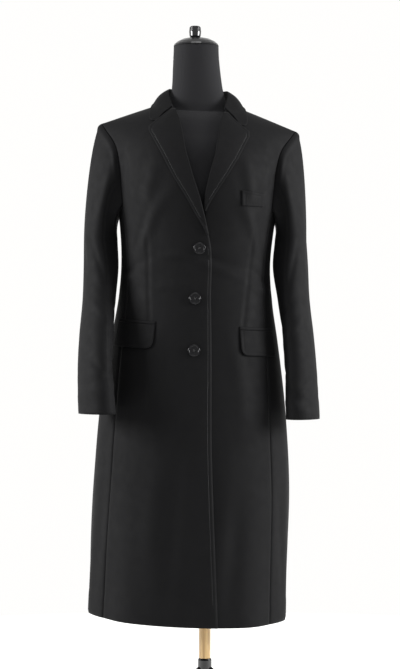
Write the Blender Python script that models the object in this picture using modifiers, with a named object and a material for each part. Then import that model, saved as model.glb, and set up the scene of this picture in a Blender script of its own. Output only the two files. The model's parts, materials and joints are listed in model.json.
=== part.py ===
"""A long single-breasted coat, buttoned on a limbless dress form.

Metres, +Z up, the coat's front faces -Y. The wearer's right is at -X.
The cloth lies on one smooth surface, body(phi, v): phi goes round the coat from
the centre front (0) over the wearer's left side (90 degrees) to the back, and v
goes up it, from the hem over the shoulder to the shoulder seam. Each panel is a
stretch of that surface with a wall, and what lies on a panel is the same surface
moved further out.
"""

import math

import bmesh
import bpy
import numpy as np
from mathutils import Vector

# Driving sizes
CLOTH = 0.002
SEAM = 0.0003
LAP_LIFT = 0.0016
LAP_HALF = 0.036
LAP_FADE = 0.060
TOP_GAP = 0.0006
LAPEL_GAP = 0.0013
LEAN = 0.04
HEM_DIP = 0.007
ARM_V = 1.24
DOME_RISE = 0.173
SHOULDER_V = ARM_V + DOME_RISE * math.pi / 2
SHOULDER_SLOPE = 0.375
SLOPE_START = 0.06
SLOPE_SOFT = 0.02
SLOPE_FOOT = 1.15
SHOULDER_LEVEL = ARM_V + DOME_RISE
FRONT_DOME = 0.135
BACK_DOME = 0.112
ROUNDNESS = 2.2
BUTTON_R = 0.01225
BUTTON_T = 0.0042
STAND_X = 0.010
POLE_R = 0.0125
ORIGIN_SHIFT = (0.0018, -0.0444, 0.0)

# Sections of the coat's outside: the level of each, then its sizes there.
BODY_COLUMNS = ("level", "centre_x", "half_width", "front", "back")
BODY = (
    (0.330, -0.0283, 0.2050, 0.166, 0.168),
    (0.493, -0.0230, 0.2040, 0.160, 0.164),
    (0.619, -0.0180, 0.2030, 0.154, 0.160),
    (0.720, -0.0160, 0.1980, 0.149, 0.156),
    (0.800, -0.0145, 0.1910, 0.145, 0.151),
    (0.860, -0.0130, 0.1830, 0.140, 0.144),
    (0.922, -0.0110, 0.1730, 0.134, 0.134),
    (0.997, -0.0095, 0.1610, 0.125, 0.118),
    (1.071, -0.0090, 0.1560, 0.120, 0.105),
    (1.144, -0.0070, 0.1610, 0.126, 0.105),
    (1.200, -0.0055, 0.1690, 0.134, 0.110),
    (1.240, -0.0050, 0.1735, 0.135, 0.112),
    (1.320, -0.0040, 0.1870, 0.135, 0.112),
    (1.370, -0.0035, 0.1975, 0.135, 0.112),
    (1.413, -0.0030, 0.2050, 0.135, 0.112),
)

# Soft folds that run down the skirt: where each stands and how far it swells out.
FOLD_COLUMNS = ("phi", "spread", "swell", "top", "bottom")
FOLDS = (
    (-34.0, 11.0, 0.0035, 0.76, 0.30),
    (-72.0, 10.0, 0.0040, 0.70, 0.30),
    (33.0, 12.0, 0.0040, 0.78, 0.30),
    (76.0, 10.0, 0.0035, 0.72, 0.30),
    (138.0, 13.0, 0.0060, 0.80, 0.30),
    (172.0, 12.0, 0.0050, 0.78, 0.30),
    (-142.0, 13.0, 0.0055, 0.80, 0.30),
    (-52.0, 8.0, -0.0030, 0.74, 0.30),
    (55.0, 8.0, -0.0030, 0.74, 0.30),
    (155.0, 9.0, -0.0035, 0.78, 0.30),
    (-165.0, 9.0, -0.0035, 0.78, 0.30),
)

# The armhole's front and back edges, as distances from the coat's centre line.
ARMHOLE_COLUMNS = ("level", "front", "back")
ARMHOLE = (
    (1.190, 0.1545, 0.1530),
    (1.230, 0.1580, 0.1550),
    (1.290, 0.1625, 0.1610),
    (1.355, 0.1750, 0.1750),
    (1.385, 0.1890, 0.1870),
    (1.400, 0.1965, 0.1950),
    (1.413, 0.2025, 0.2025),
)
UNDERARM_LEVEL = 1.165
JOINT_LEVEL = 1.190

# The seams either side of the side panel, in degrees round from the centre front.
SEAM_COLUMNS = ("level", "front_seam", "back_seam")
SEAMS = (
    (0.330, 55.0, 122.0),
    (0.493, 54.0, 122.0),
    (0.720, 51.5, 121.0),
    (0.800, 52.0, 121.0),
    (0.922, 56.0, 120.0),
    (1.071, 61.0, 119.0),
)

# The fronts' free edges. Above the break each is the line where the lapel rolls.
RIGHT_EDGE_COLUMNS = ("height", "x")
RIGHT_EDGE = (
    (0.300, 0.0368),
    (0.342, 0.0353),
    (0.475, 0.0303),
    (0.576, 0.0269),
    (0.677, 0.0240),
    (0.894, 0.0234),
    (0.995, 0.0223),
    (1.115, 0.0204),
    (1.166, 0.0077),
    (1.197, 0.0000),
    (1.232, -0.0102),
    (1.276, -0.0255),
    (1.311, -0.0332),
    (1.355, -0.0413),
    (1.390, -0.0530),
    (1.416, -0.0605),
)
LEFT_EDGE = (
    (0.300, -0.0250),
    (0.475, -0.0290),
    (0.677, -0.0340),
    (0.894, -0.0360),
    (1.040, -0.0370),
    (1.090, -0.0300),
    (1.130, -0.0100),
    (1.166, 0.0081),
    (1.197, 0.0095),
    (1.230, 0.0153),
    (1.255, 0.0224),
    (1.291, 0.0327),
    (1.324, 0.0386),
    (1.352, 0.0413),
    (1.380, 0.0494),
    (1.410, 0.0560),
)

# The lapels: at each height, the roll line and the free edge.
LAPEL_COLUMNS = ("height", "roll_x", "edge_x")
RIGHT_LAPEL = (
    (1.1290, 0.0162, 0.0125),
    (1.1475, 0.0115, 0.0045),
    (1.1680, 0.0070, -0.0080),
    (1.2040, -0.0020, -0.0280),
    (1.2500, -0.0170, -0.0560),
    (1.2960, -0.0300, -0.0790),
    (1.3420, -0.0385, -0.1040),
    (1.3520, -0.0405, -0.1045),
    (1.3665, -0.0445, -0.0890),
    (1.3790, -0.0490, -0.0730),
    (1.3880, -0.0523, -0.0600),
)
LEFT_LAPEL = (
    (1.1760, 0.0096, 0.0120),
    (1.1900, 0.0102, 0.0190),
    (1.2150, 0.0130, 0.0340),
    (1.2550, 0.0226, 0.0600),
    (1.2880, 0.0322, 0.0800),
    (1.3300, 0.0392, 0.1010),
    (1.3420, 0.0402, 0.1010),
    (1.3560, 0.0424, 0.0830),
    (1.3680, 0.0462, 0.0690),
    (1.3790, 0.0495, 0.0580),
)

# Sleeves below the armpit: an oval section at each height.
SLEEVE_COLUMNS = ("height", "centre_x", "centre_y", "half_width", "half_depth", "yaw")
RIGHT_SLEEVE = (
    (1.120, -0.2085, 0.000, 0.0355, 0.069, 0.0),
    (1.071, -0.2070, -0.012, 0.0365, 0.066, 5.0),
    (0.997, -0.2095, -0.046, 0.0335, 0.062, 12.0),
    (0.922, -0.2130, -0.092, 0.0320, 0.058, 20.0),
    (0.840, -0.2135, -0.122, 0.0315, 0.055, 26.0),
    (0.764, -0.2090, -0.133, 0.0325, 0.053, 30.0),
)
LEFT_SLEEVE = (
    (1.120, 0.1905, 0.002, 0.0335, 0.069, 0.0),
    (1.071, 0.1895, -0.006, 0.0370, 0.066, 3.0),
    (0.997, 0.1955, -0.024, 0.0330, 0.062, 9.0),
    (0.922, 0.2040, -0.046, 0.0310, 0.058, 14.0),
    (0.840, 0.2090, -0.064, 0.0310, 0.055, 19.0),
    (0.751, 0.2120, -0.078, 0.0310, 0.053, 23.0),
)

# Heights of the panels' rows. Above ARM_V they are turns of the shoulder's dome.
LOW_ROWS = (0.340, 0.410, 0.480, 0.550, 0.620, 0.690, 0.750, 0.805, 0.860, 0.910)
MID_ROWS = (0.955, 1.000, 1.040, 1.075, 1.110, 1.150)
DOME_TURNS = (0.25, 0.50, 0.75, 0.98, 1.18, 1.36, math.pi / 2)
JOIN_ROWS = (1.190, 1.240)

SIDE_COLUMNS = 7
COLLAR_CLEAR = 0.0062
SLEEVE_GAP = 0.0014
SLEEVE_PULL = 0.75
CAP_EASE = 0.48
CAP_SHARES = (0.13, 0.30, 0.55, 0.80)
FRONT_SEAM_COLUMN = 6
BACK_SEAM_COLUMN = 6

# Stations round the collar, each with its neck seam, its fold and its free edge.
COLLAR_COLUMNS = ("foot_x", "foot_y", "foot_z", "fold_x", "fold_y", "fold_z",
                  "edge_x", "edge_y", "edge_z")
COLLAR_HALF = (
    (-0.0570, -0.0560, 1.396, -0.0585, -0.0570, 1.401, -0.0900, -0.0900, 1.3720),
    (-0.0600, -0.0300, 1.412, -0.0620, -0.0330, 1.420, -0.1075, -0.0600, 1.3790),
    (-0.0620, 0.0000, 1.421, -0.0635, -0.0020, 1.436, -0.1080, -0.0100, 1.4075),
    (-0.0550, 0.0330, 1.417, -0.0540, 0.0300, 1.440, -0.0950, 0.0480, 1.4050),
    (-0.0350, 0.0560, 1.404, -0.0330, 0.0500, 1.440, -0.0550, 0.0830, 1.3900),
)
COLLAR_MIDDLE = (-0.004, 0.0640, 1.398, -0.004, 0.0560, 1.440, -0.004, 0.0960, 1.3800)

FORM_LOW = (
    (0.8000, -0.006, 0.148, 0.112, 0.118),
    (0.8600, -0.006, 0.150, 0.115, 0.116),
    (0.9220, -0.006, 0.145, 0.108, 0.108),
    (0.9970, -0.006, 0.130, 0.096, 0.092),
    (1.0710, -0.006, 0.121, 0.092, 0.080),
    (1.1440, -0.006, 0.132, 0.104, 0.084),
    (1.2000, -0.005, 0.146, 0.120, 0.092),
    (1.2400, -0.005, 0.150, 0.124, 0.096),
)
# Rings over the shoulders: half width, front, back, and how far under the coat.
FORM_TOP = (
    (0.156, 0.119, 0.095, 0.016),
    (0.162, 0.106, 0.085, 0.010),
    (0.165, 0.086, 0.071, 0.0070),
    (0.156, 0.064, 0.054, 0.0080),
    (0.128, 0.057, 0.045, 0.0080),
    (0.098, 0.052, 0.034, 0.0130),
    (0.070, 0.047, 0.032, 0.0160),
    (0.0555, 0.045, 0.036, 0.0150),
)
FORM_NECK = (
    (1.4180, -0.0045, 0.0530, 0.0455),
    (1.4450, -0.0060, 0.0520, 0.0455),
    (1.4750, -0.0075, 0.0500, 0.0455),
    (1.5050, -0.0082, 0.0478, 0.0450),
    (1.5300, -0.0080, 0.0470, 0.0450),
)
CAP_PROFILE = ((0, 0.0180), (0.016, 0.0172), (0.030, 0.0140), (0.040, 0.0090),
               (0.0462, 0.0035), (0.0475, 0.0), (0, 0.0))
FINIAL_PROFILE = ((0, 0.0235), (0.0095, 0.0235), (0.0118, 0.0210), (0.0126, 0.0120),
                  (0.0118, 0.0030), (0.0098, 0.0), (0, 0.0))
HUB_TOP = 0.246
LEG = ((0.0155, 0.222, 0.0065, 0.0), (0.040, 0.205, 0.0070, 0.75), (0.120, 0.130, 0.0070, 0.75),
       (0.215, 0.040, 0.0070, 0.75), (0.250, 0.012, 0.0075, 1.20), (0.262, 0.0, 0.0090, 1.5708))


def clear_scene():
    """Empties the scene that Blender starts with."""
    for obj in list(bpy.data.objects):
        bpy.data.objects.remove(obj, do_unlink=True)


def curve(at, rows, column, key=0):
    """A smooth line through one column of a table, read at the key column's values."""
    table = np.array(sorted(rows))
    knots = table[:, key]
    values = table[:, column]
    slopes = np.gradient(values, knots)
    at = np.clip(np.asarray(at, float), knots[0], knots[-1])
    i = np.clip(np.searchsorted(knots, at) - 1, 0, len(knots) - 2)
    step = knots[i + 1] - knots[i]
    t = (at - knots[i]) / step
    rise = (1 + 2 * t) * (1 - t) ** 2 * values[i] + t * t * (3 - 2 * t) * values[i + 1]
    bend = t * (1 - t) ** 2 * slopes[i] - t * t * (1 - t) * slopes[i + 1]
    return rise + step * bend


def fade(value, start, end):
    """0 at start, 1 at end, with a smooth passage between."""
    t = np.clip((np.asarray(value, float) - start) / (end - start), 0, 1)
    return t * t * (3 - 2 * t)


def level_of(v):
    """The height, before slope and lean, that v stands for."""
    turn = np.clip((v - ARM_V) / DOME_RISE, 0, math.pi / 2)
    return np.where(v > ARM_V, ARM_V + DOME_RISE * np.sin(turn), v)


def shoulder_drop(away, level):
    """How far the shoulder's slope lowers a point that lies away from the centre line."""
    past = np.abs(away) - SLOPE_START
    soft = (past + np.sqrt(past * past + SLOPE_SOFT**2)) / 2
    return SHOULDER_SLOPE * soft * fade(level, SLOPE_FOOT, SHOULDER_LEVEL)


def body(phi, v):
    """Points of the coat's outside. phi in radians and v in metres may be arrays."""
    phi, v = np.broadcast_arrays(np.asarray(phi, float), np.asarray(v, float))
    level = level_of(v)
    sine = np.sin(phi)
    cosine = np.cos(phi)
    size = (np.abs(sine) ** ROUNDNESS + np.abs(cosine) ** ROUNDNESS) ** (1 / ROUNDNESS)
    turn = np.clip((v - ARM_V) / DOME_RISE, 0, math.pi / 2)
    column = np.where(cosine > 0, curve(level, BODY, 3), curve(level, BODY, 4))
    depth = column * np.cos(turn)
    swell = np.ones_like(level)
    for degrees, spread, out, top, bottom in FOLDS:
        apart = (np.degrees(phi) - degrees + 180) % 360 - 180
        bump = out * np.exp(-((apart / spread) ** 2)) * fade(level, top, bottom)
        swell = swell + bump / 0.18
    away = curve(level, BODY, 2) * sine / size * swell
    x = curve(level, BODY, 1) + away
    y = -depth * cosine / size * swell
    dip = HEM_DIP * np.maximum(cosine, 0) * fade(level, 0.75, 0.35)
    z = level - LEAN * x - shoulder_drop(away, level) - dip
    return np.stack([x, y, z], axis=-1)


def normal(phi, v):
    """Unit normals of body(phi, v), pointing out."""
    small = 1e-4
    low = np.minimum(v, SHOULDER_V - 2 * small)
    across = body(phi + small, low) - body(phi - small, low)
    along = body(phi, low + small) - body(phi, low - small)
    out = np.cross(across, along)
    return out / np.linalg.norm(out, axis=-1, keepdims=True)


def on_front(x, z):
    """(phi, v) of the point of the coat's front that is seen at x and height z."""
    v = np.asarray(z, float) + 0.0
    phi = np.zeros_like(v)
    for _ in range(40):
        level = level_of(v)
        half = curve(level, BODY, 2)
        away = x - curve(level, BODY, 1)
        share = np.clip(np.abs(away) / half, 0, 0.9995)
        rest = (1 - share**ROUNDNESS) ** (1 / ROUNDNESS)
        phi = np.sign(away) * np.arctan2(share, rest)
        miss = z - body(phi, v)[..., 2]
        v = np.clip(v + 0.7 * miss, 0.2, SHOULDER_V)
    return phi, v


def side_phi(half, level, is_back):
    """phi where the body's outside is half from its centre line at a level."""
    share = np.clip(half / curve(level, BODY, 2), 0, 0.9995)
    rest = (1 - share**ROUNDNESS) ** (1 / ROUNDNESS)
    phi = np.arctan2(share, rest)
    return math.pi - phi if is_back else phi


def seam_phi(v, is_back):
    """phi of a front's or a back's side edge: a seam below the armhole, then its edge."""
    column = 2 if is_back else 1
    level = level_of(v)
    joint = side_phi(curve(JOINT_LEVEL, ARMHOLE, column), JOINT_LEVEL, is_back)
    rows = SEAMS + ((JOINT_LEVEL, math.degrees(joint), math.degrees(joint)),)
    low = np.radians(curve(level, rows, column))
    high = side_phi(curve(level, ARMHOLE, column), level, is_back)
    return np.where(level < JOINT_LEVEL, low, high)


def gap_angle(phi, v, distance):
    """The turn in phi that moves a point by a distance along the cloth."""
    small = 1e-3
    step = body(phi + small, v) - body(phi - small, v)
    return distance * 2 * small / np.maximum(np.linalg.norm(step, axis=-1), 1e-6)


def material(name, colour, roughness, metallic=0.0):
    """One Principled material."""
    made = bpy.data.materials.new(name)
    made.use_nodes = True
    shader = made.node_tree.nodes["Principled BSDF"]
    shader.inputs["Base Color"].default_value = (*colour, 1.0)
    shader.inputs["Roughness"].default_value = roughness
    shader.inputs["Metallic"].default_value = metallic
    return made


def add_object(name, points, faces, look):
    """Makes a smooth-shaded mesh object from points and faces."""
    mesh = bpy.data.meshes.new(name)
    mesh.from_pydata([tuple(p) for p in points], [], faces)
    mesh.update()
    mesh.shade_smooth()
    mesh.set_sharp_from_angle(angle=math.radians(40))
    mesh.materials.append(look)
    obj = bpy.data.objects.new(name, mesh)
    COAT.objects.link(obj)
    obj.parent = HOLDER
    return obj


def wall(name, outer, inner, look, round_u=False):
    """A closed cloth wall between two grids of points, rows by columns."""
    rows, columns = outer.shape[:2]
    count = rows * columns
    points = np.concatenate([outer.reshape(-1, 3), inner.reshape(-1, 3)])
    faces = []
    last = columns if round_u else columns - 1
    for i in range(rows - 1):
        for j in range(last):
            k = (j + 1) % columns
            a, b = i * columns + j, i * columns + k
            c, d = a + columns, b + columns
            faces.append((a, b, d, c))
            faces.append((a + count, c + count, d + count, b + count))
    for j in range(last):
        k = (j + 1) % columns
        a, b = j, k
        c, d = (rows - 1) * columns + j, (rows - 1) * columns + k
        faces.append((a, a + count, b + count, b))
        faces.append((c, d, d + count, c + count))
    if not round_u:
        for i in range(rows - 1):
            a, b = i * columns, (i + 1) * columns
            c, d = a + columns - 1, b + columns - 1
            faces.append((a, b, b + count, a + count))
            faces.append((c, c + count, d + count, d))
    obj = add_object(name, points, faces, look)
    form = bmesh.new()
    form.from_mesh(obj.data)
    bmesh.ops.recalc_face_normals(form, faces=form.faces)
    form.to_mesh(obj.data)
    form.free()
    return obj


def laid(name, phi, v, low, high, look):
    """A wall on the coat's surface, from one lift above it to another."""
    surface = body(phi, v)
    out = normal(phi, v)
    low = np.asarray(low, float)[..., None]
    high = np.asarray(high, float)[..., None]
    return wall(name, surface + out * high, surface + out * low, look)


def lap_share(x, z):
    """1 where the fronts lap, fading to 0 beyond the lap."""
    middle = curve(z, RIGHT_EDGE, 1) - 0.030
    return fade(np.abs(x - middle), LAP_HALF + LAP_FADE, LAP_HALF) * fade(z, 1.26, 1.15)


def edge_phi(v, edge):
    """phi of a front's free edge at each v, from its table of heights and places."""
    z = np.asarray(level_of(v), float).copy()
    for _ in range(12):
        x = curve(z, edge, 1)
        level = level_of(v)
        half = curve(level, BODY, 2)
        away = x - curve(level, BODY, 1)
        share = np.clip(np.abs(away) / half, 0, 0.999)
        phi = np.sign(away) * np.arctan2(share, (1 - share**ROUNDNESS) ** (1 / ROUNDNESS))
        z = body(phi, v)[..., 2]
    return phi


def panel_rows():
    """v of the rows that the fronts and backs share."""
    dome = [ARM_V + DOME_RISE * turn for turn in DOME_TURNS]
    return np.array(LOW_ROWS + MID_ROWS + JOIN_ROWS + tuple(dome))


def front_panel(name, side, edge, lift_sign, columns, look):
    """One front: side is -1 for the wearer's right."""
    v = panel_rows()
    free = edge_phi(v, edge)
    seam = side * seam_phi(v, False)
    seam = seam - side * gap_angle(seam, v, SEAM / 2) * (level_of(v) < 1.2)
    share = np.linspace(0, 1, columns)[None, :]
    phi = free[:, None] * (1 - share) + seam[:, None] * share
    v = np.broadcast_to(v[:, None], phi.shape)
    surface = body(phi, v)
    out = normal(phi, v)
    lift = lift_sign * LAP_LIFT * lap_share(surface[..., 0], surface[..., 2])[..., None]
    shift = np.zeros(3)
    shift[1] = -SEAM / 2
    shift = shift * fade(v, ARM_V, SHOULDER_V)[..., None]
    return wall(name, surface + out * lift + shift, surface + out * (lift - CLOTH) + shift, look)


def back_panel(name, side, columns, look):
    """Half of the back, from the centre back seam to its side edge."""
    v = panel_rows()
    seam = seam_phi(v, True)
    seam = seam + gap_angle(seam, v, SEAM / 2) * (level_of(v) < 1.2)
    centre = math.pi - gap_angle(math.pi, v, SEAM / 2)
    turn = np.clip((v - ARM_V) / DOME_RISE, 0, math.pi / 2)
    neck_x = 0.060 * np.sqrt(fade(turn, 0.93, 1.5))
    half = curve(level_of(v), BODY, 2)
    neck_phi = side_phi(neck_x + 1e-6, level_of(v), True)
    inner = np.minimum(centre, np.where(half > neck_x, neck_phi, centre))
    share = np.linspace(0, 1, columns)[None, :]
    phi = side * (inner[:, None] * (1 - share) + seam[:, None] * share)
    v = np.broadcast_to(v[:, None], phi.shape)
    surface = body(phi, v)
    out = normal(phi, v)
    shift = np.array([0.0, SEAM / 2, 0.0]) * fade(v, ARM_V, SHOULDER_V)[..., None]
    return wall(name, surface + shift, surface - out * CLOTH + shift, look)


def underarm_v(phi):
    """Top edge of a side panel: a shallow bow between the two joints."""
    low = side_phi(curve(JOINT_LEVEL, ARMHOLE, 1), JOINT_LEVEL, False)
    high = side_phi(curve(JOINT_LEVEL, ARMHOLE, 2), JOINT_LEVEL, True)
    share = np.clip((np.abs(phi) - low) / (high - low), 0, 1)
    return JOINT_LEVEL - (JOINT_LEVEL - UNDERARM_LEVEL) * 4 * share * (1 - share)


def side_panel(name, side, look):
    """The panel under the arm, up to the armhole's foot."""
    rows = np.array(LOW_ROWS + MID_ROWS + (JOINT_LEVEL,))
    share = np.linspace(0, 1, SIDE_COLUMNS)[None, :]
    v = np.broadcast_to(rows[:, None], (len(rows), SIDE_COLUMNS)).copy()
    front = seam_phi(rows, False)
    back = seam_phi(rows, True)
    front = front + gap_angle(front, rows, SEAM / 2)
    back = back - gap_angle(back, rows, SEAM / 2)
    phi = front[:, None] * (1 - share) + back[:, None] * share
    top = underarm_v(phi[-1])
    v[-1] = top
    v[-2] = np.minimum(v[-2], top - 0.022)
    surface = body(side * phi, v)
    out = normal(side * phi, v)
    return wall(name, surface, surface - out * CLOTH, look)


def armhole_loop(side):
    """Points round an armhole, from the shoulder down the front and up the back."""
    rows = panel_rows()
    above = rows[rows >= JOINT_LEVEL]
    down = above[::-1]
    foot = np.linspace(0, 1, SIDE_COLUMNS)[1:-1]
    low = side_phi(curve(JOINT_LEVEL, ARMHOLE, 1), JOINT_LEVEL, False)
    high = side_phi(curve(JOINT_LEVEL, ARMHOLE, 2), JOINT_LEVEL, True)
    bow = low + (high - low) * foot
    phi = np.concatenate([seam_phi(down, False), bow, seam_phi(above[:-1], True)])
    v = np.concatenate([down, underarm_v(bow), above[:-1]])
    return body(side * phi, v)


def sleeve_grid(side, sections, gap):
    """Outer points of a sleeve: rows from the armhole to the cuff, columns round it."""
    loop = armhole_loop(side)
    steps = np.linalg.norm(np.roll(loop, -1, axis=0) - loop, axis=1)
    share = np.concatenate([[0], np.cumsum(steps)[:-1]]) / steps.sum()
    turn = 2 * math.pi * share
    lower = -np.cos(turn)
    table = np.array(sections)
    rings = []
    for height, cx, cy, half_width, half_depth, yaw in table:
        out = half_width * np.cos(turn)
        fore = -half_depth * np.sin(turn)
        spin = -math.radians(yaw)
        x = cx + side * out * math.cos(spin) + side * fore * math.sin(-spin)
        y = cy + fore * math.cos(spin) + out * math.sin(spin)
        rings.append(np.stack([x, y, np.full_like(x, height)], axis=-1))
    top = rings[0]
    reach = np.linalg.norm(top - loop, axis=1)[:, None]
    push = (SLEEVE_PULL - CAP_EASE * fade(lower, 0.2, -0.6))[:, None] * reach
    start = np.stack([
        side * (0.95 - 0.30 * fade(lower, 0.2, 1.0)),
        -0.25 * np.sin(turn),
        -0.36 - 0.10 * fade(lower, -0.2, 0.6) - 0.5 * fade(lower, 0.4, 1.0),
    ], axis=-1)
    start = start / np.linalg.norm(start, axis=1, keepdims=True)
    end = np.array([0.0, 0.0, -1.0])
    seat = loop + start * gap
    rows = [seat]
    for t in CAP_SHARES:
        pull = SLEEVE_PULL * reach
        rise = (1 + 2 * t) * (1 - t) ** 2 * seat + t * t * (3 - 2 * t) * top
        rows.append(rise + t * (1 - t) ** 2 * push * start - t * t * (1 - t) * pull * end)
    rows = rows + rings
    return np.stack(rows)


def grid_normals(grid, round_u):
    """Unit normals of a grid of points, by the slopes between neighbours."""
    along = np.gradient(grid, axis=0)
    if round_u:
        across = (np.roll(grid, -1, axis=1) - np.roll(grid, 1, axis=1)) / 2
    else:
        across = np.gradient(grid, axis=1)
    out = np.cross(across, along)
    return out / np.linalg.norm(out, axis=-1, keepdims=True)


def sleeve(side, sections, names, look):
    """A sleeve as its top and its under half, parted at the two seams."""
    outer = sleeve_grid(side, sections, SLEEVE_GAP)
    out = grid_normals(outer, True)
    centre = outer.mean(axis=1, keepdims=True)
    facing = np.sum(out * (outer - centre), axis=-1).mean()
    out = out * np.sign(facing)
    inner = outer - out * CLOTH
    count = outer.shape[1]
    front = FRONT_SEAM_COLUMN
    back = count - BACK_SEAM_COLUMN
    top_columns = np.arange(back, count + front + 1) % count
    under_columns = np.arange(front, back + 1)
    for name, columns in zip(names, (top_columns, under_columns)):
        piece = [grid[:, columns].copy() for grid in (outer, inner)]
        for grid in piece:
            for at, beside in ((0, 1), (-1, -2)):
                toward = grid[:, beside] - grid[:, at]
                toward /= np.linalg.norm(toward, axis=-1, keepdims=True)
                grid[:, at] += toward * SEAM / 2
        wall(name, piece[0], piece[1], look)


def lapel(name, rows, lift, look):
    """A lapel: the top of a front, turned back over it."""
    known = np.array([row[0] for row in rows])
    z = np.sort(np.concatenate([known, (known[1:] + known[:-1]) / 2]))
    share = np.linspace(0, 1, 5)[None, :]
    x = np.interp(z, known, [row[1] for row in rows])[:, None] * (1 - share)
    x = x + np.interp(z, known, [row[2] for row in rows])[:, None] * share
    z = np.broadcast_to(z[:, None], x.shape)
    phi, v = on_front(x, z)
    surface = body(phi, v)
    base = lift * LAP_LIFT * lap_share(surface[..., 0], surface[..., 2]) + LAPEL_GAP
    return laid(name, phi, v, base, base + CLOTH, look)


def patch(name, corners, columns, rows, low, high, look):
    """A flat piece on the coat's front, between four corners given as (x, height)."""
    a, b, c, d = (np.array(corner) for corner in corners)
    u = np.linspace(0, 1, columns)[None, :, None]
    w = np.linspace(0, 1, rows)[:, None, None]
    flat = (a * (1 - u) + b * u) * (1 - w) + (d * (1 - u) + c * u) * w
    phi, v = on_front(flat[..., 0], flat[..., 1])
    return laid(name, phi, v, np.full(phi.shape, low), np.full(phi.shape, high), look)


def flap(name, start, length, height, slope, side, look):
    """A pocket flap, from its front top corner round towards the side."""
    phi, v = on_front(np.array(start[0]), np.array(start[1]))
    rate = gap_angle(phi, v, 1.0)
    u = np.linspace(0, 1, 8)[None, :]
    w = np.linspace(0, 1, 4)[:, None]
    corner = 0.010 * np.maximum(0, 1 - u / 0.12) ** 2 * w
    turn = phi + side * rate * length * (u + 0 * w)
    drop = v + slope * length * u - (height - corner) * w
    low = TOP_GAP
    return laid(name, turn, drop, np.full(turn.shape, low), np.full(turn.shape, low + CLOTH), look)


def jet(name, start, length, slope, side, look):
    """The narrow strip of cloth that binds a pocket's mouth over its flap."""
    phi, v = on_front(np.array(start[0]), np.array(start[1]))
    rate = gap_angle(phi, v, 1.0)
    u = np.linspace(0, 1, 8)[None, :]
    w = np.linspace(0, 1, 2)[:, None]
    turn = phi + side * rate * length * (u + 0 * w)
    rise = v + slope * length * u + 0.0004 + 0.006 * w
    low = TOP_GAP
    return laid(name, turn, rise, np.full(turn.shape, low), np.full(turn.shape, low + 0.0015), look)


def collar(look):
    """The stand round the neck and the fall that turns over it."""
    stations = np.array(COLLAR)
    s = np.linspace(0, 1, 25)
    knots = np.linspace(0, 1, len(stations))
    table = [tuple([k] + list(row)) for k, row in zip(knots, stations)]
    read = np.stack([curve(s, table, column + 1) for column in range(9)], axis=-1)
    foot, fold, edge = read[:, 0:3], read[:, 3:6], read[:, 6:9]
    w = np.linspace(0, 1, 4)[:, None, None]
    rise = foot * (1 - w) + fold * w
    middle = np.array([-0.004, 0.0, 1.40])
    out = grid_normals(rise, False)
    out = out * np.sign(np.sum(out * (rise - middle) * (1, 1, 0), axis=-1).mean())
    wall("collar_stand", rise, rise - out * CLOTH, look)
    w = np.linspace(0, 1, 6)[:, None, None]
    lift = np.array([0.0, 0.0, 0.0042])
    crest = fold + lift
    bulge = np.sin(w * math.pi) * 0.004
    fall = crest * (1 - w) + edge * w
    out = grid_normals(fall, False)
    out = out * np.sign(out[..., 2].mean())
    fall = fall + out * bulge
    seat = shoulder_height(fall[..., 0], fall[..., 1]) + COLLAR_CLEAR
    fall[..., 2] = np.maximum(fall[..., 2], seat)
    out = grid_normals(fall, False)
    out = out * np.sign(out[..., 2].mean())
    wall("collar_fall", fall, fall - out * CLOTH, look)


def turned(name, profile, steps, look, place=(0, 0, 0)):
    """A turned piece from (radius, height) pairs, with a Screw modifier."""
    mesh = bpy.data.meshes.new(name)
    edges = [(i, i + 1) for i in range(len(profile) - 1)]
    mesh.from_pydata([(r, 0, z) for r, z in profile], edges, [])
    obj = bpy.data.objects.new(name, mesh)
    obj.location = place
    COAT.objects.link(obj)
    obj.parent = HOLDER
    screw = obj.modifiers.new("Screw", "SCREW")
    screw.steps = steps
    screw.render_steps = steps
    screw.use_merge_vertices = True
    screw.merge_threshold = 0.00001
    screw.use_smooth_shade = True
    mesh.materials.append(look)
    return obj


def button(name, x, z, look):
    """A dished button with four holes, facing out from the cloth under it."""
    phi, v = on_front(np.array(x), np.array(z))
    out = Vector(normal(phi, v).tolist())
    lift = LAP_LIFT * float(lap_share(x, z)) + TOP_GAP
    place = Vector(body(phi, v).tolist()) + out * lift
    r = BUTTON_R
    t = BUTTON_T
    profile = ((0, t * 0.55), (r * 0.55, t * 0.6), (r * 0.72, t * 0.95), (r * 0.86, t),
               (r, t * 0.7), (r, t * 0.35), (r * 0.8, 0), (0, 0))
    obj = turned(name, profile, 20, look, place)
    obj.rotation_mode = "QUATERNION"
    obj.rotation_quaternion = out.to_track_quat("Z", "Y")
    cutter_mesh = bpy.data.meshes.new(name + "_holes")
    form = bmesh.new()
    for i in range(4):
        turn = math.pi / 4 + i * math.pi / 2
        made = bmesh.ops.create_cone(form, cap_ends=True, segments=6, radius1=0.0011,
                                     radius2=0.0011, depth=0.02)
        shift = (0.0028 * math.cos(turn), 0.0028 * math.sin(turn), 0)
        bmesh.ops.translate(form, verts=made["verts"], vec=shift)
    form.to_mesh(cutter_mesh)
    form.free()
    cutter = bpy.data.objects.new(name + "_holes", cutter_mesh)
    cutter.location = place
    cutter.rotation_mode = "QUATERNION"
    cutter.rotation_quaternion = obj.rotation_quaternion
    cutter.parent = HOLDER
    cutter.hide_render = True
    cutter.display_type = "WIRE"
    CUTTERS.objects.link(cutter)
    cut = obj.modifiers.new("Holes", "BOOLEAN")
    cut.object = cutter
    cut.operation = "DIFFERENCE"
    return obj


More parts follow.
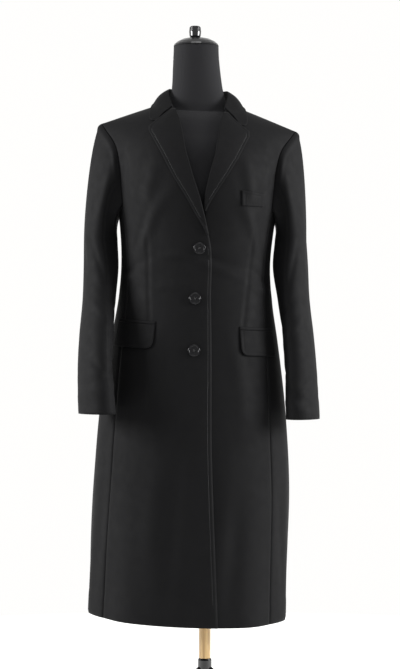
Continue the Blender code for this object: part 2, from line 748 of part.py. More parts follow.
def stacked(name, rings, look):
    """A closed solid from rings of points, with a flat fan at each end."""
    rings = np.asarray(rings)
    rows, columns = rings.shape[:2]
    points = np.concatenate([rings.reshape(-1, 3), rings[0].mean(0)[None], rings[-1].mean(0)[None]])
    low, high = rows * columns, rows * columns + 1
    faces = []
    for i in range(rows - 1):
        for j in range(columns):
            k = (j + 1) % columns
            a, b = i * columns + j, i * columns + k
            faces.append((a, b, b + columns, a + columns))
    top = (rows - 1) * columns
    for j in range(columns):
        k = (j + 1) % columns
        faces.append((k, j, low))
        faces.append((top + j, top + k, high))
    obj = add_object(name, points, faces, look)
    form = bmesh.new()
    form.from_mesh(obj.data)
    bmesh.ops.recalc_face_normals(form, faces=form.faces)
    form.to_mesh(obj.data)
    form.free()
    return obj


def oval(cx, cy, half, front, back, z, turns):
    """One level ring, deeper or shallower at the back than at the front."""
    depth = np.where(np.cos(turns) > 0, front, back)
    size = (np.abs(np.sin(turns)) ** 2.2 + np.abs(np.cos(turns)) ** 2.2) ** (1 / 2.2)
    x = cx + half * np.sin(turns) / size
    y = cy - depth * np.cos(turns) / size
    return np.stack([x, y, np.full_like(x, z) if np.isscalar(z) else z], axis=-1)


def shoulder_height(x, y):
    """Height of the coat's outside over a point inside its shoulders."""
    level = np.full_like(x, SHOULDER_LEVEL)
    for _ in range(12):
        half = curve(level, BODY, 2)
        away = x - curve(level, BODY, 1)
        share = np.clip(np.abs(away) / half, 0, 0.98)
        depth = np.where(y < 0, FRONT_DOME, BACK_DOME) * (1 - share**2.2) ** (1 / 2.2)
        cosine = np.clip(np.abs(y) / depth, 0, 0.999)
        level = ARM_V + DOME_RISE * np.sqrt(1 - cosine**2)
    return level - LEAN * x - shoulder_drop(away, level)


def dress_form(jersey):
    """The form's trunk and neck as one closed solid."""
    turns = np.linspace(0, 2 * math.pi, 28, endpoint=False)
    rings = [oval(row[1], 0, row[2], row[3], row[4], row[0], turns) for row in FORM_LOW]
    for half, front, back, under in FORM_TOP:
        flat = oval(-0.0045, 0, half, front, back, 0.0, turns)
        z = shoulder_height(flat[:, 0], flat[:, 1]) - under
        rings.append(np.stack([flat[:, 0], flat[:, 1], z], axis=-1))
    for height, cx, half, deep in FORM_NECK:
        rings.append(oval(cx, 0, half, deep, deep, height, turns))
    stacked("form_torso", rings, jersey)


def leg(name, azimuth, look):
    """A straight leg from the hub down to a flat foot on the floor."""
    out = np.array([math.cos(azimuth), math.sin(azimuth), 0.0])
    across = np.array([-math.sin(azimuth), math.cos(azimuth), 0.0])
    base = np.array([STAND_X, 0.0, 0.0])
    turns = np.linspace(0, 2 * math.pi, 10, endpoint=False)
    rings = []
    for reach, z, radius, tilt in LEG:
        up = np.array([0, 0, 1.0]) * math.cos(tilt) + out * math.sin(tilt)
        centre = base + out * reach + np.array([0, 0, z])
        ring = centre + radius * (np.cos(turns)[:, None] * across + np.sin(turns)[:, None] * up)
        rings.append(ring)
    stacked(name, rings, look)


def mirrored_collar():
    """The collar's stations from the wearer's right round the back to the left."""
    middle = -0.0035
    right = [list(row) for row in COLLAR_HALF]
    left = []
    for row in reversed(right):
        other = list(row)
        for k in (0, 3, 6):
            other[k] = 2 * middle - row[k]
            other[k + 2] = row[k + 2] - LEAN * (other[k] - row[k])
        left.append(other)
    return right + [list(COLLAR_MIDDLE)] + left


clear_scene()
COAT = bpy.data.collections.new("long_coat")
CUTTERS = bpy.data.collections.new("cutters")
bpy.context.scene.collection.children.link(COAT)
bpy.context.scene.collection.children.link(CUTTERS)
HOLDER = bpy.data.objects.new("holder", None)
HOLDER.location = ORIGIN_SHIFT
COAT.objects.link(HOLDER)
COLLAR = mirrored_collar()

WOOL = (0.010, 0.010, 0.011)
for spec in (("right_front", -1, RIGHT_EDGE, 1), ("left_front", 1, LEFT_EDGE, -1)):
    front_panel(spec[0], spec[1], spec[2], spec[3], 9, material(spec[0], WOOL, 0.85))
for spec in (("right_back", -1), ("left_back", 1)):
    back_panel(spec[0], spec[1], 7, material(spec[0], WOOL, 0.85))
for spec in (("right_side", -1), ("left_side", 1)):
    side_panel(spec[0], spec[1], material(spec[0], WOOL, 0.85))
sleeve(-1, RIGHT_SLEEVE, ("right_topsleeve", "right_undersleeve"), material("right_sleeve", WOOL, 0.85))
sleeve(1, LEFT_SLEEVE, ("left_topsleeve", "left_undersleeve"), material("left_sleeve", WOOL, 0.85))
lapel("right_lapel", RIGHT_LAPEL, 1, material("right_lapel", WOOL, 0.85))
lapel("left_lapel", LEFT_LAPEL, -1, material("left_lapel", WOOL, 0.85))
collar(material("collar", WOOL, 0.85))
flap("right_flap", (-0.0905, 0.945), 0.110, 0.050, 0.03, -1, material("right_flap", WOOL, 0.85))
flap("left_flap", (0.0805, 0.934), 0.100, 0.052, 0.0, 1, material("left_flap", WOOL, 0.85))
jet("right_jet", (-0.0905, 0.945), 0.110, 0.03, -1, material("right_jet", WOOL, 0.85))
jet("left_jet", (0.0805, 0.934), 0.100, 0.0, 1, material("left_jet", WOOL, 0.85))
patch("breast_welt", ((0.0840, 1.1880), (0.1285, 1.1870), (0.1310, 1.2130), (0.0845, 1.2190)),
      5, 3, TOP_GAP, TOP_GAP + CLOTH, material("breast_welt", WOOL, 0.85))
for name, x, z in (("button_top", -0.0010, 1.101), ("button_middle", -0.0102, 0.998),
                   ("button_bottom", -0.0122, 0.892)):
    button(name, x, z, material(name, (0.008, 0.008, 0.009), 0.2))
dress_form(material("jersey", (0.035, 0.036, 0.038), 0.9))
turned("neck_cap", CAP_PROFILE, 28, material("cap", (0.01, 0.01, 0.01), 0.25), (-0.008, 0, 1.5303))
turned("finial", FINIAL_PROFILE, 24, material("finial", (0.01, 0.01, 0.01), 0.2), (-0.0102, 0, 1.5486))
turned("pole", ((0, 0.7997), (POLE_R, 0.7997), (POLE_R, HUB_TOP + 0.0003), (0, HUB_TOP + 0.0003)),
       20, material("wood", (0.45, 0.27, 0.13), 0.5), (STAND_X, 0, 0))
turned("hub", ((0, HUB_TOP), (0.0128, HUB_TOP), (0.0148, HUB_TOP - 0.004), (0.0148, 0.206),
               (0.010, 0.200), (0, 0.200)), 24, material("hub", (0.01, 0.01, 0.01), 0.15), (STAND_X, 0, 0))
for name, degrees in (("leg_right", 210.0), ("leg_left", 330.0), ("leg_back", 90.0)):
    leg(name, math.radians(degrees), material(name, (0.01, 0.01, 0.01), 0.2))
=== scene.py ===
# %% [markdown]
# # A long single-breasted coat on a dress form
#
# A black wool coat with notched lapels, three buttons, flap pockets and set-in
# sleeves, buttoned on a limbless form. All its panels lie on one smooth surface,
# body(phi, v), so each panel is a fine grid on that surface: its seams meet, and
# what lies on it, such as a lapel or a flap, is the same surface moved outwards.
# Creases are soft troughs and ridges, placed one by one.

import json
import math

import bpy
import numpy as np
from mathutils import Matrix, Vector

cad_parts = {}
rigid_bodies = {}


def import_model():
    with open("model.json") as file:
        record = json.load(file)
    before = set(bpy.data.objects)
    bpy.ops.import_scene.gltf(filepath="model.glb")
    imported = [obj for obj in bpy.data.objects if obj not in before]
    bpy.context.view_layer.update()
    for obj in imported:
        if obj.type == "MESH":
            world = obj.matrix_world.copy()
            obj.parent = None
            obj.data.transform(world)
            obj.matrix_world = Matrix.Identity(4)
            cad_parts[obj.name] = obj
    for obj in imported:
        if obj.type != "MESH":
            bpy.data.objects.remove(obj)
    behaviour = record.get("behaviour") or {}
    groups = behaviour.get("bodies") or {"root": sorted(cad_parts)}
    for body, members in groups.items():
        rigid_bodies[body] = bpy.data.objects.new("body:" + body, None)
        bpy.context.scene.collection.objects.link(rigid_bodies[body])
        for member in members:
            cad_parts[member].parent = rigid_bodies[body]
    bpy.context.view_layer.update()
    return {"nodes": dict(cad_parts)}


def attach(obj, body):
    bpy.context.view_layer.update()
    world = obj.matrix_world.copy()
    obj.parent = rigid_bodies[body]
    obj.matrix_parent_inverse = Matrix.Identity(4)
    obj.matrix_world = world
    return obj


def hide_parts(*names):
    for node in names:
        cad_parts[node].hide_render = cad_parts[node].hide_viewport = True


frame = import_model()
print("CAD nodes:", sorted(frame["nodes"]))

# %% [markdown]
# The sizes and the tables below say what the coat measures. Each table has one row
# for a section, a fold or a place along an edge, in metres and degrees.

# %% Sizes
SHIFT = np.array([0.0018, -0.0444, 0.0])
LAP_LIFT = 0.0016
LAP_HALF = 0.036
LAP_FADE = 0.060
TOP_GAP = 0.0006
LEAN = 0.04
HEM_DIP = 0.007
ARM_V = 1.24
DOME_RISE = 0.173
SHOULDER_V = ARM_V + DOME_RISE * math.pi / 2
SHOULDER_SLOPE = 0.375
SLOPE_START = 0.06
SLOPE_SOFT = 0.02
SLOPE_FOOT = 1.15
SHOULDER_LEVEL = ARM_V + DOME_RISE
FRONT_DOME = 0.135
BACK_DOME = 0.112
ROUNDNESS = 2.2
BUTTON_R = 0.01225

# Sections of the coat's outside: the level of each, then its sizes there.
BODY_COLUMNS = ("level", "centre_x", "half_width", "front", "back")
BODY = (
    (0.330, -0.0283, 0.2050, 0.166, 0.168),
    (0.493, -0.0230, 0.2040, 0.160, 0.164),
    (0.619, -0.0180, 0.2030, 0.154, 0.160),
    (0.720, -0.0160, 0.1980, 0.149, 0.156),
    (0.800, -0.0145, 0.1910, 0.145, 0.151),
    (0.860, -0.0130, 0.1830, 0.140, 0.144),
    (0.922, -0.0110, 0.1730, 0.134, 0.134),
    (0.997, -0.0095, 0.1610, 0.125, 0.118),
    (1.071, -0.0090, 0.1560, 0.120, 0.105),
    (1.144, -0.0070, 0.1610, 0.126, 0.105),
    (1.200, -0.0055, 0.1690, 0.134, 0.110),
    (1.240, -0.0050, 0.1735, 0.135, 0.112),
    (1.320, -0.0040, 0.1870, 0.135, 0.112),
    (1.370, -0.0035, 0.1975, 0.135, 0.112),
    (1.413, -0.0030, 0.2050, 0.135, 0.112),
)

# Soft folds that run down the skirt: where each stands and how far it swells out.
FOLD_COLUMNS = ("phi", "spread", "swell", "top", "bottom")
FOLDS = (
    (-34.0, 11.0, 0.0035, 0.76, 0.30),
    (-72.0, 10.0, 0.0040, 0.70, 0.30),
    (33.0, 12.0, 0.0040, 0.78, 0.30),
    (76.0, 10.0, 0.0035, 0.72, 0.30),
    (138.0, 13.0, 0.0060, 0.80, 0.30),
    (172.0, 12.0, 0.0050, 0.78, 0.30),
    (-142.0, 13.0, 0.0055, 0.80, 0.30),
    (-52.0, 8.0, -0.0030, 0.74, 0.30),
    (55.0, 8.0, -0.0030, 0.74, 0.30),
    (155.0, 9.0, -0.0035, 0.78, 0.30),
    (-165.0, 9.0, -0.0035, 0.78, 0.30),
)

# The armhole's front and back edges, as distances from the coat's centre line.
ARMHOLE_COLUMNS = ("level", "front", "back")
ARMHOLE = (
    (1.190, 0.1545, 0.1530),
    (1.230, 0.1580, 0.1550),
    (1.290, 0.1625, 0.1610),
    (1.355, 0.1750, 0.1750),
    (1.385, 0.1890, 0.1870),
    (1.400, 0.1965, 0.1950),
    (1.413, 0.2025, 0.2025),
)
UNDERARM_LEVEL = 1.165
JOINT_LEVEL = 1.190

# The seams either side of the side panel, in degrees round from the centre front.
SEAM_COLUMNS = ("level", "front_seam", "back_seam")
SEAMS = (
    (0.330, 55.0, 122.0),
    (0.493, 54.0, 122.0),
    (0.720, 51.5, 121.0),
    (0.800, 52.0, 121.0),
    (0.922, 56.0, 120.0),
    (1.071, 61.0, 119.0),
)

# The fronts' free edges. Above the break each is the line where the lapel rolls.
RIGHT_EDGE_COLUMNS = ("height", "x")
RIGHT_EDGE = (
    (0.300, 0.0368),
    (0.342, 0.0353),
    (0.475, 0.0303),
    (0.576, 0.0269),
    (0.677, 0.0240),
    (0.894, 0.0234),
    (0.995, 0.0223),
    (1.115, 0.0204),
    (1.166, 0.0077),
    (1.197, 0.0000),
    (1.232, -0.0102),
    (1.276, -0.0255),
    (1.311, -0.0332),
    (1.355, -0.0413),
    (1.390, -0.0530),
    (1.416, -0.0605),
)
LEFT_EDGE = (
    (0.300, -0.0250),
    (0.475, -0.0290),
    (0.677, -0.0340),
    (0.894, -0.0360),
    (1.040, -0.0370),
    (1.090, -0.0300),
    (1.130, -0.0100),
    (1.166, 0.0081),
    (1.197, 0.0095),
    (1.230, 0.0153),
    (1.255, 0.0224),
    (1.291, 0.0327),
    (1.324, 0.0386),
    (1.352, 0.0413),
    (1.380, 0.0494),
    (1.410, 0.0560),
)

# The lapels: at each height, the roll line and the free edge.
LAPEL_COLUMNS = ("height", "roll_x", "edge_x")
RIGHT_LAPEL = (
    (1.1290, 0.0162, 0.0125),
    (1.1475, 0.0115, 0.0045),
    (1.1680, 0.0070, -0.0080),
    (1.2040, -0.0020, -0.0280),
    (1.2500, -0.0170, -0.0560),
    (1.2960, -0.0300, -0.0790),
    (1.3420, -0.0385, -0.1040),
    (1.3520, -0.0405, -0.1045),
    (1.3665, -0.0445, -0.0890),
    (1.3790, -0.0490, -0.0730),
    (1.3880, -0.0523, -0.0600),
)
LEFT_LAPEL = (
    (1.1760, 0.0096, 0.0120),
    (1.1900, 0.0102, 0.0190),
    (1.2150, 0.0130, 0.0340),
    (1.2550, 0.0226, 0.0600),
    (1.2880, 0.0322, 0.0800),
    (1.3300, 0.0392, 0.1010),
    (1.3420, 0.0402, 0.1010),
    (1.3560, 0.0424, 0.0830),
    (1.3680, 0.0462, 0.0690),
    (1.3790, 0.0495, 0.0580),
)

# Sleeves below the armpit: an oval section at each height.
SLEEVE_COLUMNS = ("height", "centre_x", "centre_y", "half_width", "half_depth", "yaw")
RIGHT_SLEEVE = (
    (1.120, -0.2085, 0.000, 0.0355, 0.069, 0.0),
    (1.071, -0.2070, -0.012, 0.0365, 0.066, 5.0),
    (0.997, -0.2095, -0.046, 0.0335, 0.062, 12.0),
    (0.922, -0.2130, -0.092, 0.0320, 0.058, 20.0),
    (0.840, -0.2135, -0.122, 0.0315, 0.055, 26.0),
    (0.764, -0.2090, -0.133, 0.0325, 0.053, 30.0),
)
LEFT_SLEEVE = (
    (1.120, 0.1905, 0.002, 0.0335, 0.069, 0.0),
    (1.071, 0.1895, -0.006, 0.0370, 0.066, 3.0),
    (0.997, 0.1955, -0.024, 0.0330, 0.062, 9.0),
    (0.922, 0.2040, -0.046, 0.0310, 0.058, 14.0),
    (0.840, 0.2090, -0.064, 0.0310, 0.055, 19.0),
    (0.751, 0.2120, -0.078, 0.0310, 0.053, 23.0),
)

# The first height is the hem, where the panels' fine rows start. Above ARM_V a row's v is a turn of the
# shoulder's dome.
LOW_ROWS = (0.340, 0.410, 0.480, 0.550, 0.620, 0.690, 0.750, 0.805, 0.860, 0.910)

COLLAR_CLEAR = 0.0062
END_CLEAR = 0.0036
COLLAR_COLUMNS = ("foot_x", "foot_y", "foot_z", "fold_x", "fold_y", "fold_z", "edge_x", "edge_y", "edge_z")
COLLAR_HALF = (
    (-0.0570, -0.0560, 1.3940, -0.0585, -0.0570, 1.3990, -0.0887, -0.0835, 1.3650),
    (-0.0600, -0.0300, 1.4120, -0.0620, -0.0330, 1.4180, -0.1056, -0.0680, 1.3725),
    (-0.0620, 0.0000, 1.421, -0.0635, -0.0020, 1.436, -0.0985, -0.0100, 1.4060),
    (-0.0550, 0.0330, 1.417, -0.0540, 0.0300, 1.440, -0.0950, 0.0480, 1.4050),
    (-0.0350, 0.0560, 1.404, -0.0330, 0.0500, 1.440, -0.0550, 0.0830, 1.3900),
)
LEFT_DROP = (0.0035, 0.0060)
COLLAR_MIDDLE = (-0.004, 0.0640, 1.398, -0.004, 0.0560, 1.440, -0.004, 0.0960, 1.3800)
def curve(at, rows, column, key=0):
    """A smooth line through one column of a table, read at the key column's values."""
    table = np.array(sorted(rows))
    knots = table[:, key]
    values = table[:, column]
    slopes = np.gradient(values, knots)
    at = np.clip(np.asarray(at, float), knots[0], knots[-1])
    i = np.clip(np.searchsorted(knots, at) - 1, 0, len(knots) - 2)
    step = knots[i + 1] - knots[i]
    t = (at - knots[i]) / step
    rise = (1 + 2 * t) * (1 - t) ** 2 * values[i] + t * t * (3 - 2 * t) * values[i + 1]
    bend = t * (1 - t) ** 2 * slopes[i] - t * t * (1 - t) * slopes[i + 1]
    return rise + step * bend


def fade(value, start, end):
    """0 at start, 1 at end, with a smooth passage between."""
    t = np.clip((np.asarray(value, float) - start) / (end - start), 0, 1)
    return t * t * (3 - 2 * t)


def level_of(v):
    """The height, before slope and lean, that v stands for."""
    turn = np.clip((v - ARM_V) / DOME_RISE, 0, math.pi / 2)
    return np.where(v > ARM_V, ARM_V + DOME_RISE * np.sin(turn), v)


def shoulder_drop(away, level):
    """How far the shoulder's slope lowers a point that lies away from the centre line."""
    past = np.abs(away) - SLOPE_START
    soft = (past + np.sqrt(past * past + SLOPE_SOFT**2)) / 2
    return SHOULDER_SLOPE * soft * fade(level, SLOPE_FOOT, SHOULDER_LEVEL)


def body(phi, v):
    """Points of the coat's outside. phi in radians and v in metres may be arrays."""
    phi, v = np.broadcast_arrays(np.asarray(phi, float), np.asarray(v, float))
    level = level_of(v)
    sine = np.sin(phi)
    cosine = np.cos(phi)
    size = (np.abs(sine) ** ROUNDNESS + np.abs(cosine) ** ROUNDNESS) ** (1 / ROUNDNESS)
    turn = np.clip((v - ARM_V) / DOME_RISE, 0, math.pi / 2)
    column = np.where(cosine > 0, curve(level, BODY, 3), curve(level, BODY, 4))
    depth = column * np.cos(turn)
    swell = np.ones_like(level)
    for degrees, spread, out, top, bottom in FOLDS:
        apart = (np.degrees(phi) - degrees + 180) % 360 - 180
        bump = out * np.exp(-((apart / spread) ** 2)) * fade(level, top, bottom)
        swell = swell + bump / 0.18
    away = curve(level, BODY, 2) * sine / size * swell
    x = curve(level, BODY, 1) + away
    y = -depth * cosine / size * swell
    dip = HEM_DIP * np.maximum(cosine, 0) * fade(level, 0.75, 0.35)
    z = level - LEAN * x - shoulder_drop(away, level) - dip
    return np.stack([x, y, z], axis=-1)


def normal(phi, v):
    """Unit normals of body(phi, v), pointing out."""
    small = 1e-4
    low = np.minimum(v, SHOULDER_V - 2 * small)
    across = body(phi + small, low) - body(phi - small, low)
    along = body(phi, low + small) - body(phi, low - small)
    out = np.cross(across, along)
    return out / np.linalg.norm(out, axis=-1, keepdims=True)


def on_front(x, z):
    """(phi, v) of the point of the coat's front that is seen at x and height z."""
    v = np.asarray(z, float) + 0.0
    phi = np.zeros_like(v)
    for _ in range(40):
        level = level_of(v)
        half = curve(level, BODY, 2)
        away = x - curve(level, BODY, 1)
        share = np.clip(np.abs(away) / half, 0, 0.9995)
        rest = (1 - share**ROUNDNESS) ** (1 / ROUNDNESS)
        phi = np.sign(away) * np.arctan2(share, rest)
        miss = z - body(phi, v)[..., 2]
        v = np.clip(v + 0.7 * miss, 0.2, SHOULDER_V)
    return phi, v


def side_phi(half, level, is_back):
    """phi where the body's outside is half from its centre line at a level."""
    share = np.clip(half / curve(level, BODY, 2), 0, 0.9995)
    rest = (1 - share**ROUNDNESS) ** (1 / ROUNDNESS)
    phi = np.arctan2(share, rest)
    return math.pi - phi if is_back else phi


def seam_phi(v, is_back):
    """phi of a front's or a back's side edge: a seam below the armhole, then its edge."""
    column = 2 if is_back else 1
    level = level_of(v)
    joint = side_phi(curve(JOINT_LEVEL, ARMHOLE, column), JOINT_LEVEL, is_back)
    rows = SEAMS + ((JOINT_LEVEL, math.degrees(joint), math.degrees(joint)),)
    low = np.radians(curve(level, rows, column))
    high = side_phi(curve(level, ARMHOLE, column), level, is_back)
    return np.where(level < JOINT_LEVEL, low, high)


def gap_angle(phi, v, distance):
    """The turn in phi that moves a point by a distance along the cloth."""
    small = 1e-3
    step = body(phi + small, v) - body(phi - small, v)
    return distance * 2 * small / np.maximum(np.linalg.norm(step, axis=-1), 1e-6)


def lap_share(x, z):
    """1 where the fronts lap, fading to 0 beyond the lap."""
    middle = curve(z, RIGHT_EDGE, 1) - 0.030
    return fade(np.abs(x - middle), LAP_HALF + LAP_FADE, LAP_HALF) * fade(z, 1.26, 1.15)


def edge_phi(v, edge):
    """phi of a front's free edge at each v, from its table of heights and places."""
    z = np.asarray(level_of(v), float).copy()
    for _ in range(12):
        x = curve(z, edge, 1)
        level = level_of(v)
        half = curve(level, BODY, 2)
        away = x - curve(level, BODY, 1)
        share = np.clip(np.abs(away) / half, 0, 0.999)
        phi = np.sign(away) * np.arctan2(share, (1 - share**ROUNDNESS) ** (1 / ROUNDNESS))
        z = body(phi, v)[..., 2]
    return phi


def underarm_v(phi):
    """Top edge of a side panel: a shallow bow between the two joints."""
    low = side_phi(curve(JOINT_LEVEL, ARMHOLE, 1), JOINT_LEVEL, False)
    high = side_phi(curve(JOINT_LEVEL, ARMHOLE, 2), JOINT_LEVEL, True)
    share = np.clip((np.abs(phi) - low) / (high - low), 0, 1)
    return JOINT_LEVEL - (JOINT_LEVEL - UNDERARM_LEVEL) * 4 * share * (1 - share)


def shoulder_height(x, y):
    """Height of the coat's outside over a point inside its shoulders."""
    level = np.full_like(x, SHOULDER_LEVEL)
    for _ in range(12):
        half = curve(level, BODY, 2)
        away = x - curve(level, BODY, 1)
        share = np.clip(np.abs(away) / half, 0, 0.98)
        depth = np.where(y < 0, FRONT_DOME, BACK_DOME) * (1 - share**2.2) ** (1 / 2.2)
        cosine = np.clip(np.abs(y) / depth, 0, 0.999)
        level = ARM_V + DOME_RISE * np.sqrt(1 - cosine**2)
    return level - LEAN * x - shoulder_drop(away, level)


# %% [markdown]
# ## Creases
# Worn cloth isn't smooth. Each row places one soft trough or ridge: where
# its middle lies, which way it runs, how long and wide it is, and how far it
# swells (a trough is negative). They differ in length, depth and spacing.

# %% Creases on the body
CREASE_COLUMNS = ("phi", "v", "runs", "half_length", "half_width", "swell")
CREASES = (
    (-6.0, 1.090, 12.0, 0.070, 0.007, 0.0020),
    (-14.0, 1.072, -6.0, 0.060, 0.006, -0.0016),
    (12.0, 1.080, -14.0, 0.055, 0.007, -0.0016),
    (16.0, 1.060, -20.0, 0.065, 0.008, 0.0018),
    (-20.0, 1.020, 8.0, 0.050, 0.008, 0.0014),
    (-34.0, 1.150, 58.0, 0.070, 0.013, 0.0032),
    (-44.0, 1.130, 64.0, 0.060, 0.010, -0.0022),
    (42.0, 1.150, -60.0, 0.070, 0.013, 0.0030),
    (52.0, 1.120, -66.0, 0.055, 0.010, -0.0022),
    (-52.0, 1.060, 20.0, 0.045, 0.007, -0.0018),
    (-58.0, 1.035, 14.0, 0.050, 0.008, 0.0016),
    (56.0, 1.050, -18.0, 0.045, 0.008, -0.0018),
    (60.0, 1.020, -12.0, 0.050, 0.007, 0.0016),
    (-33.0, 1.225, 78.0, 0.055, 0.014, 0.0026),
    (36.0, 1.240, -80.0, 0.060, 0.014, 0.0028),
    (-56.0, 1.270, 84.0, 0.060, 0.011, -0.0024),
    (58.0, 1.260, -84.0, 0.055, 0.011, -0.0024),
    (-28.0, 0.840, 86.0, 0.090, 0.016, 0.0022),
    (30.0, 0.820, -85.0, 0.100, 0.016, 0.0022),
    (-9.0, 0.560, 87.0, 0.150, 0.014, -0.0022),
    (-20.0, 0.520, 92.0, 0.170, 0.018, 0.0028),
    (19.0, 0.540, 88.0, 0.160, 0.018, 0.0026),
    (26.0, 0.480, 91.0, 0.120, 0.014, -0.0020),
    (-63.0, 0.500, 86.0, 0.160, 0.016, -0.0026),
    (66.0, 0.520, 93.0, 0.150, 0.016, -0.0026),
    (95.0, 0.560, 90.0, 0.160, 0.020, 0.0030),
    (-98.0, 0.540, 88.0, 0.170, 0.020, 0.0030),
    (108.0, 0.500, 92.0, 0.130, 0.014, -0.0022),
    (164.0, 1.100, 6.0, 0.060, 0.009, 0.0022),
    (170.0, 1.070, 3.0, 0.075, 0.008, -0.0020),
    (-160.0, 1.085, -8.0, 0.060, 0.009, 0.0022),
    (-168.0, 1.045, -4.0, 0.070, 0.010, -0.0018),
    (150.0, 1.300, 70.0, 0.060, 0.014, 0.0026),
    (-148.0, 1.290, -72.0, 0.065, 0.014, 0.0026),
    (130.0, 1.220, 76.0, 0.050, 0.011, -0.0022),
    (-128.0, 1.215, -76.0, 0.050, 0.011, -0.0022),
    (150.0, 0.560, 88.0, 0.170, 0.018, -0.0028),
    (-152.0, 0.530, 92.0, 0.160, 0.018, -0.0028),
)
GIRTH = 0.155
DEEPER = 1.35


def creases(phi, v, rows=CREASES):
    """Sum of swell * exp(-(along/half_length)^2 - (across/half_width)^2)."""
    total = np.zeros(np.broadcast(phi, v).shape)
    for degrees, middle, runs, length, width, swell in rows:
        turn = (phi - math.radians(degrees) + math.pi) % (2 * math.pi) - math.pi
        s = turn * GIRTH
        t = v - middle
        angle = math.radians(runs)
        along = s * math.cos(angle) + t * math.sin(angle)
        across = t * math.cos(angle) - s * math.sin(angle)
        bend = 0.18 * width * np.sin(along / length * 3.1 + degrees)
        across = across + bend
        total = total + DEEPER * swell * np.exp(-(along / length) ** 2 - (across / width) ** 2)
    return total


# %% Darts and seams sink a little into the cloth
DART_COLUMNS = ("top_x", "top_z", "foot_x", "foot_z", "depth")
DARTS = ((-0.1075, 1.135, -0.1035, 0.957, 0.0022), (0.1095, 1.135, 0.0885, 0.945, 0.0022))


def darts(x, z):
    """A narrow valley along each dart, dying out at both its ends."""
    total = np.zeros(np.broadcast(x, z).shape)
    for top_x, top_z, foot_x, foot_z, depth in DARTS:
        share = (top_z - z) / (top_z - foot_z)
        line = top_x + (foot_x - top_x) * np.clip(share, 0, 1)
        ends = fade(share, -0.05, 0.15) * fade(share, 1.10, 1.0)
        total = total - depth * ends * np.exp(-(((x - line) / 0.0035) ** 2))
        total = total + 0.6 * depth * ends * np.exp(-(((x - line) / 0.016) ** 2))
    return total


# %% [markdown]
# ## Cloth walls
# A wall is an outer and an inner grid of points, joined round the rim. The rim's
# last ring is drawn in a little, so the turned edge of the cloth looks soft.

# %% Grids into meshes
SHELL = 0.0018
STITCH_IN = 0.0065


def mesh_object(name, points, faces, look):
    """A smooth mesh from an array of points and a list of face arrays."""
    mesh = bpy.data.meshes.new(name)
    mesh.from_pydata((points + SHIFT).tolist(), [], np.concatenate(faces).tolist())
    mesh.update()
    mesh.shade_smooth()
    mesh.materials.append(look)
    obj = bpy.data.objects.new(name, mesh)
    bpy.context.scene.collection.objects.link(obj)
    return obj


def grid_faces(rows, columns, start, closed, flip):
    """Faces of a grid of rows by columns whose first point has the index start."""
    wide = columns if closed else columns - 1
    i, j = np.meshgrid(np.arange(rows - 1), np.arange(wide), indexing="ij")
    k = (j + 1) % columns
    corners = [i * columns + j, i * columns + k, (i + 1) * columns + k, (i + 1) * columns + j]
    faces = start + np.stack([c.ravel() for c in corners], axis=1)
    return faces[:, ::-1] if flip else faces


def grid_slopes(grid, closed=False):
    """Unit normals of a grid of points, from the slopes between neighbours."""
    along = np.gradient(grid, axis=0)
    across = np.gradient(grid, axis=1)
    if closed:
        across = (np.roll(grid, -1, axis=1) - np.roll(grid, 1, axis=1)) / 2
    out = np.cross(across, along)
    return out / np.maximum(np.linalg.norm(out, axis=-1, keepdims=True), 1e-12)


def rim_faces_between(first, second, count):
    """Faces that join an outer edge to the inner one, whose indices are count higher."""
    return np.stack([first, second, second + count, first + count], axis=1)


def soft_wall(name, outer, out, look, thick=SHELL, closed=False):
    """A wall of cloth under outer, thick deep, with rims rounded by half their depth."""
    rows, columns = outer.shape[:2]
    middle = outer - out * thick / 2
    inner = outer - out * thick
    rim = np.zeros((rows, columns, 1))
    rim[[0, -1]] = 1
    if not closed:
        rim[:, [0, -1]] = 1
    outer = outer * (1 - 0.30 * rim) + middle * 0.30 * rim
    inner = inner * (1 - 0.30 * rim) + middle * 0.30 * rim
    count = rows * columns
    facing = np.sum(np.cross(outer[1:, :-1] - outer[:-1, :-1], outer[:-1, 1:] - outer[:-1, :-1])
                    * out[:-1, :-1])
    flip = facing > 0
    faces = [grid_faces(rows, columns, 0, closed, flip), grid_faces(rows, columns, count, closed, not flip)]
    index = np.arange(count).reshape(rows, columns)
    wide = np.arange(columns if closed else columns - 1)
    after = (wide + 1) % columns
    rims = [rim_faces_between(index[0, after], index[0, wide], count),
            rim_faces_between(index[-1, wide], index[-1, after], count)]
    if not closed:
        up = np.arange(rows - 1)
        rims.append(rim_faces_between(index[up, 0], index[up + 1, 0], count))
        rims.append(rim_faces_between(index[up + 1, -1], index[up, -1], count))
    faces += [rim_faces[:, ::-1] if flip else rim_faces for rim_faces in rims]
    points = np.concatenate([outer.reshape(-1, 3), inner.reshape(-1, 3)])
    obj = mesh_object(name, points, faces, look)
    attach(obj, "root")
    return obj


# %% [markdown]
# ## Materials
# All are worked out from noise in object space. The wool is nearly black: its nap
# scatters light, so it gets a weak sheen, a high roughness and a fine bump.

# %% A small language for shader maths


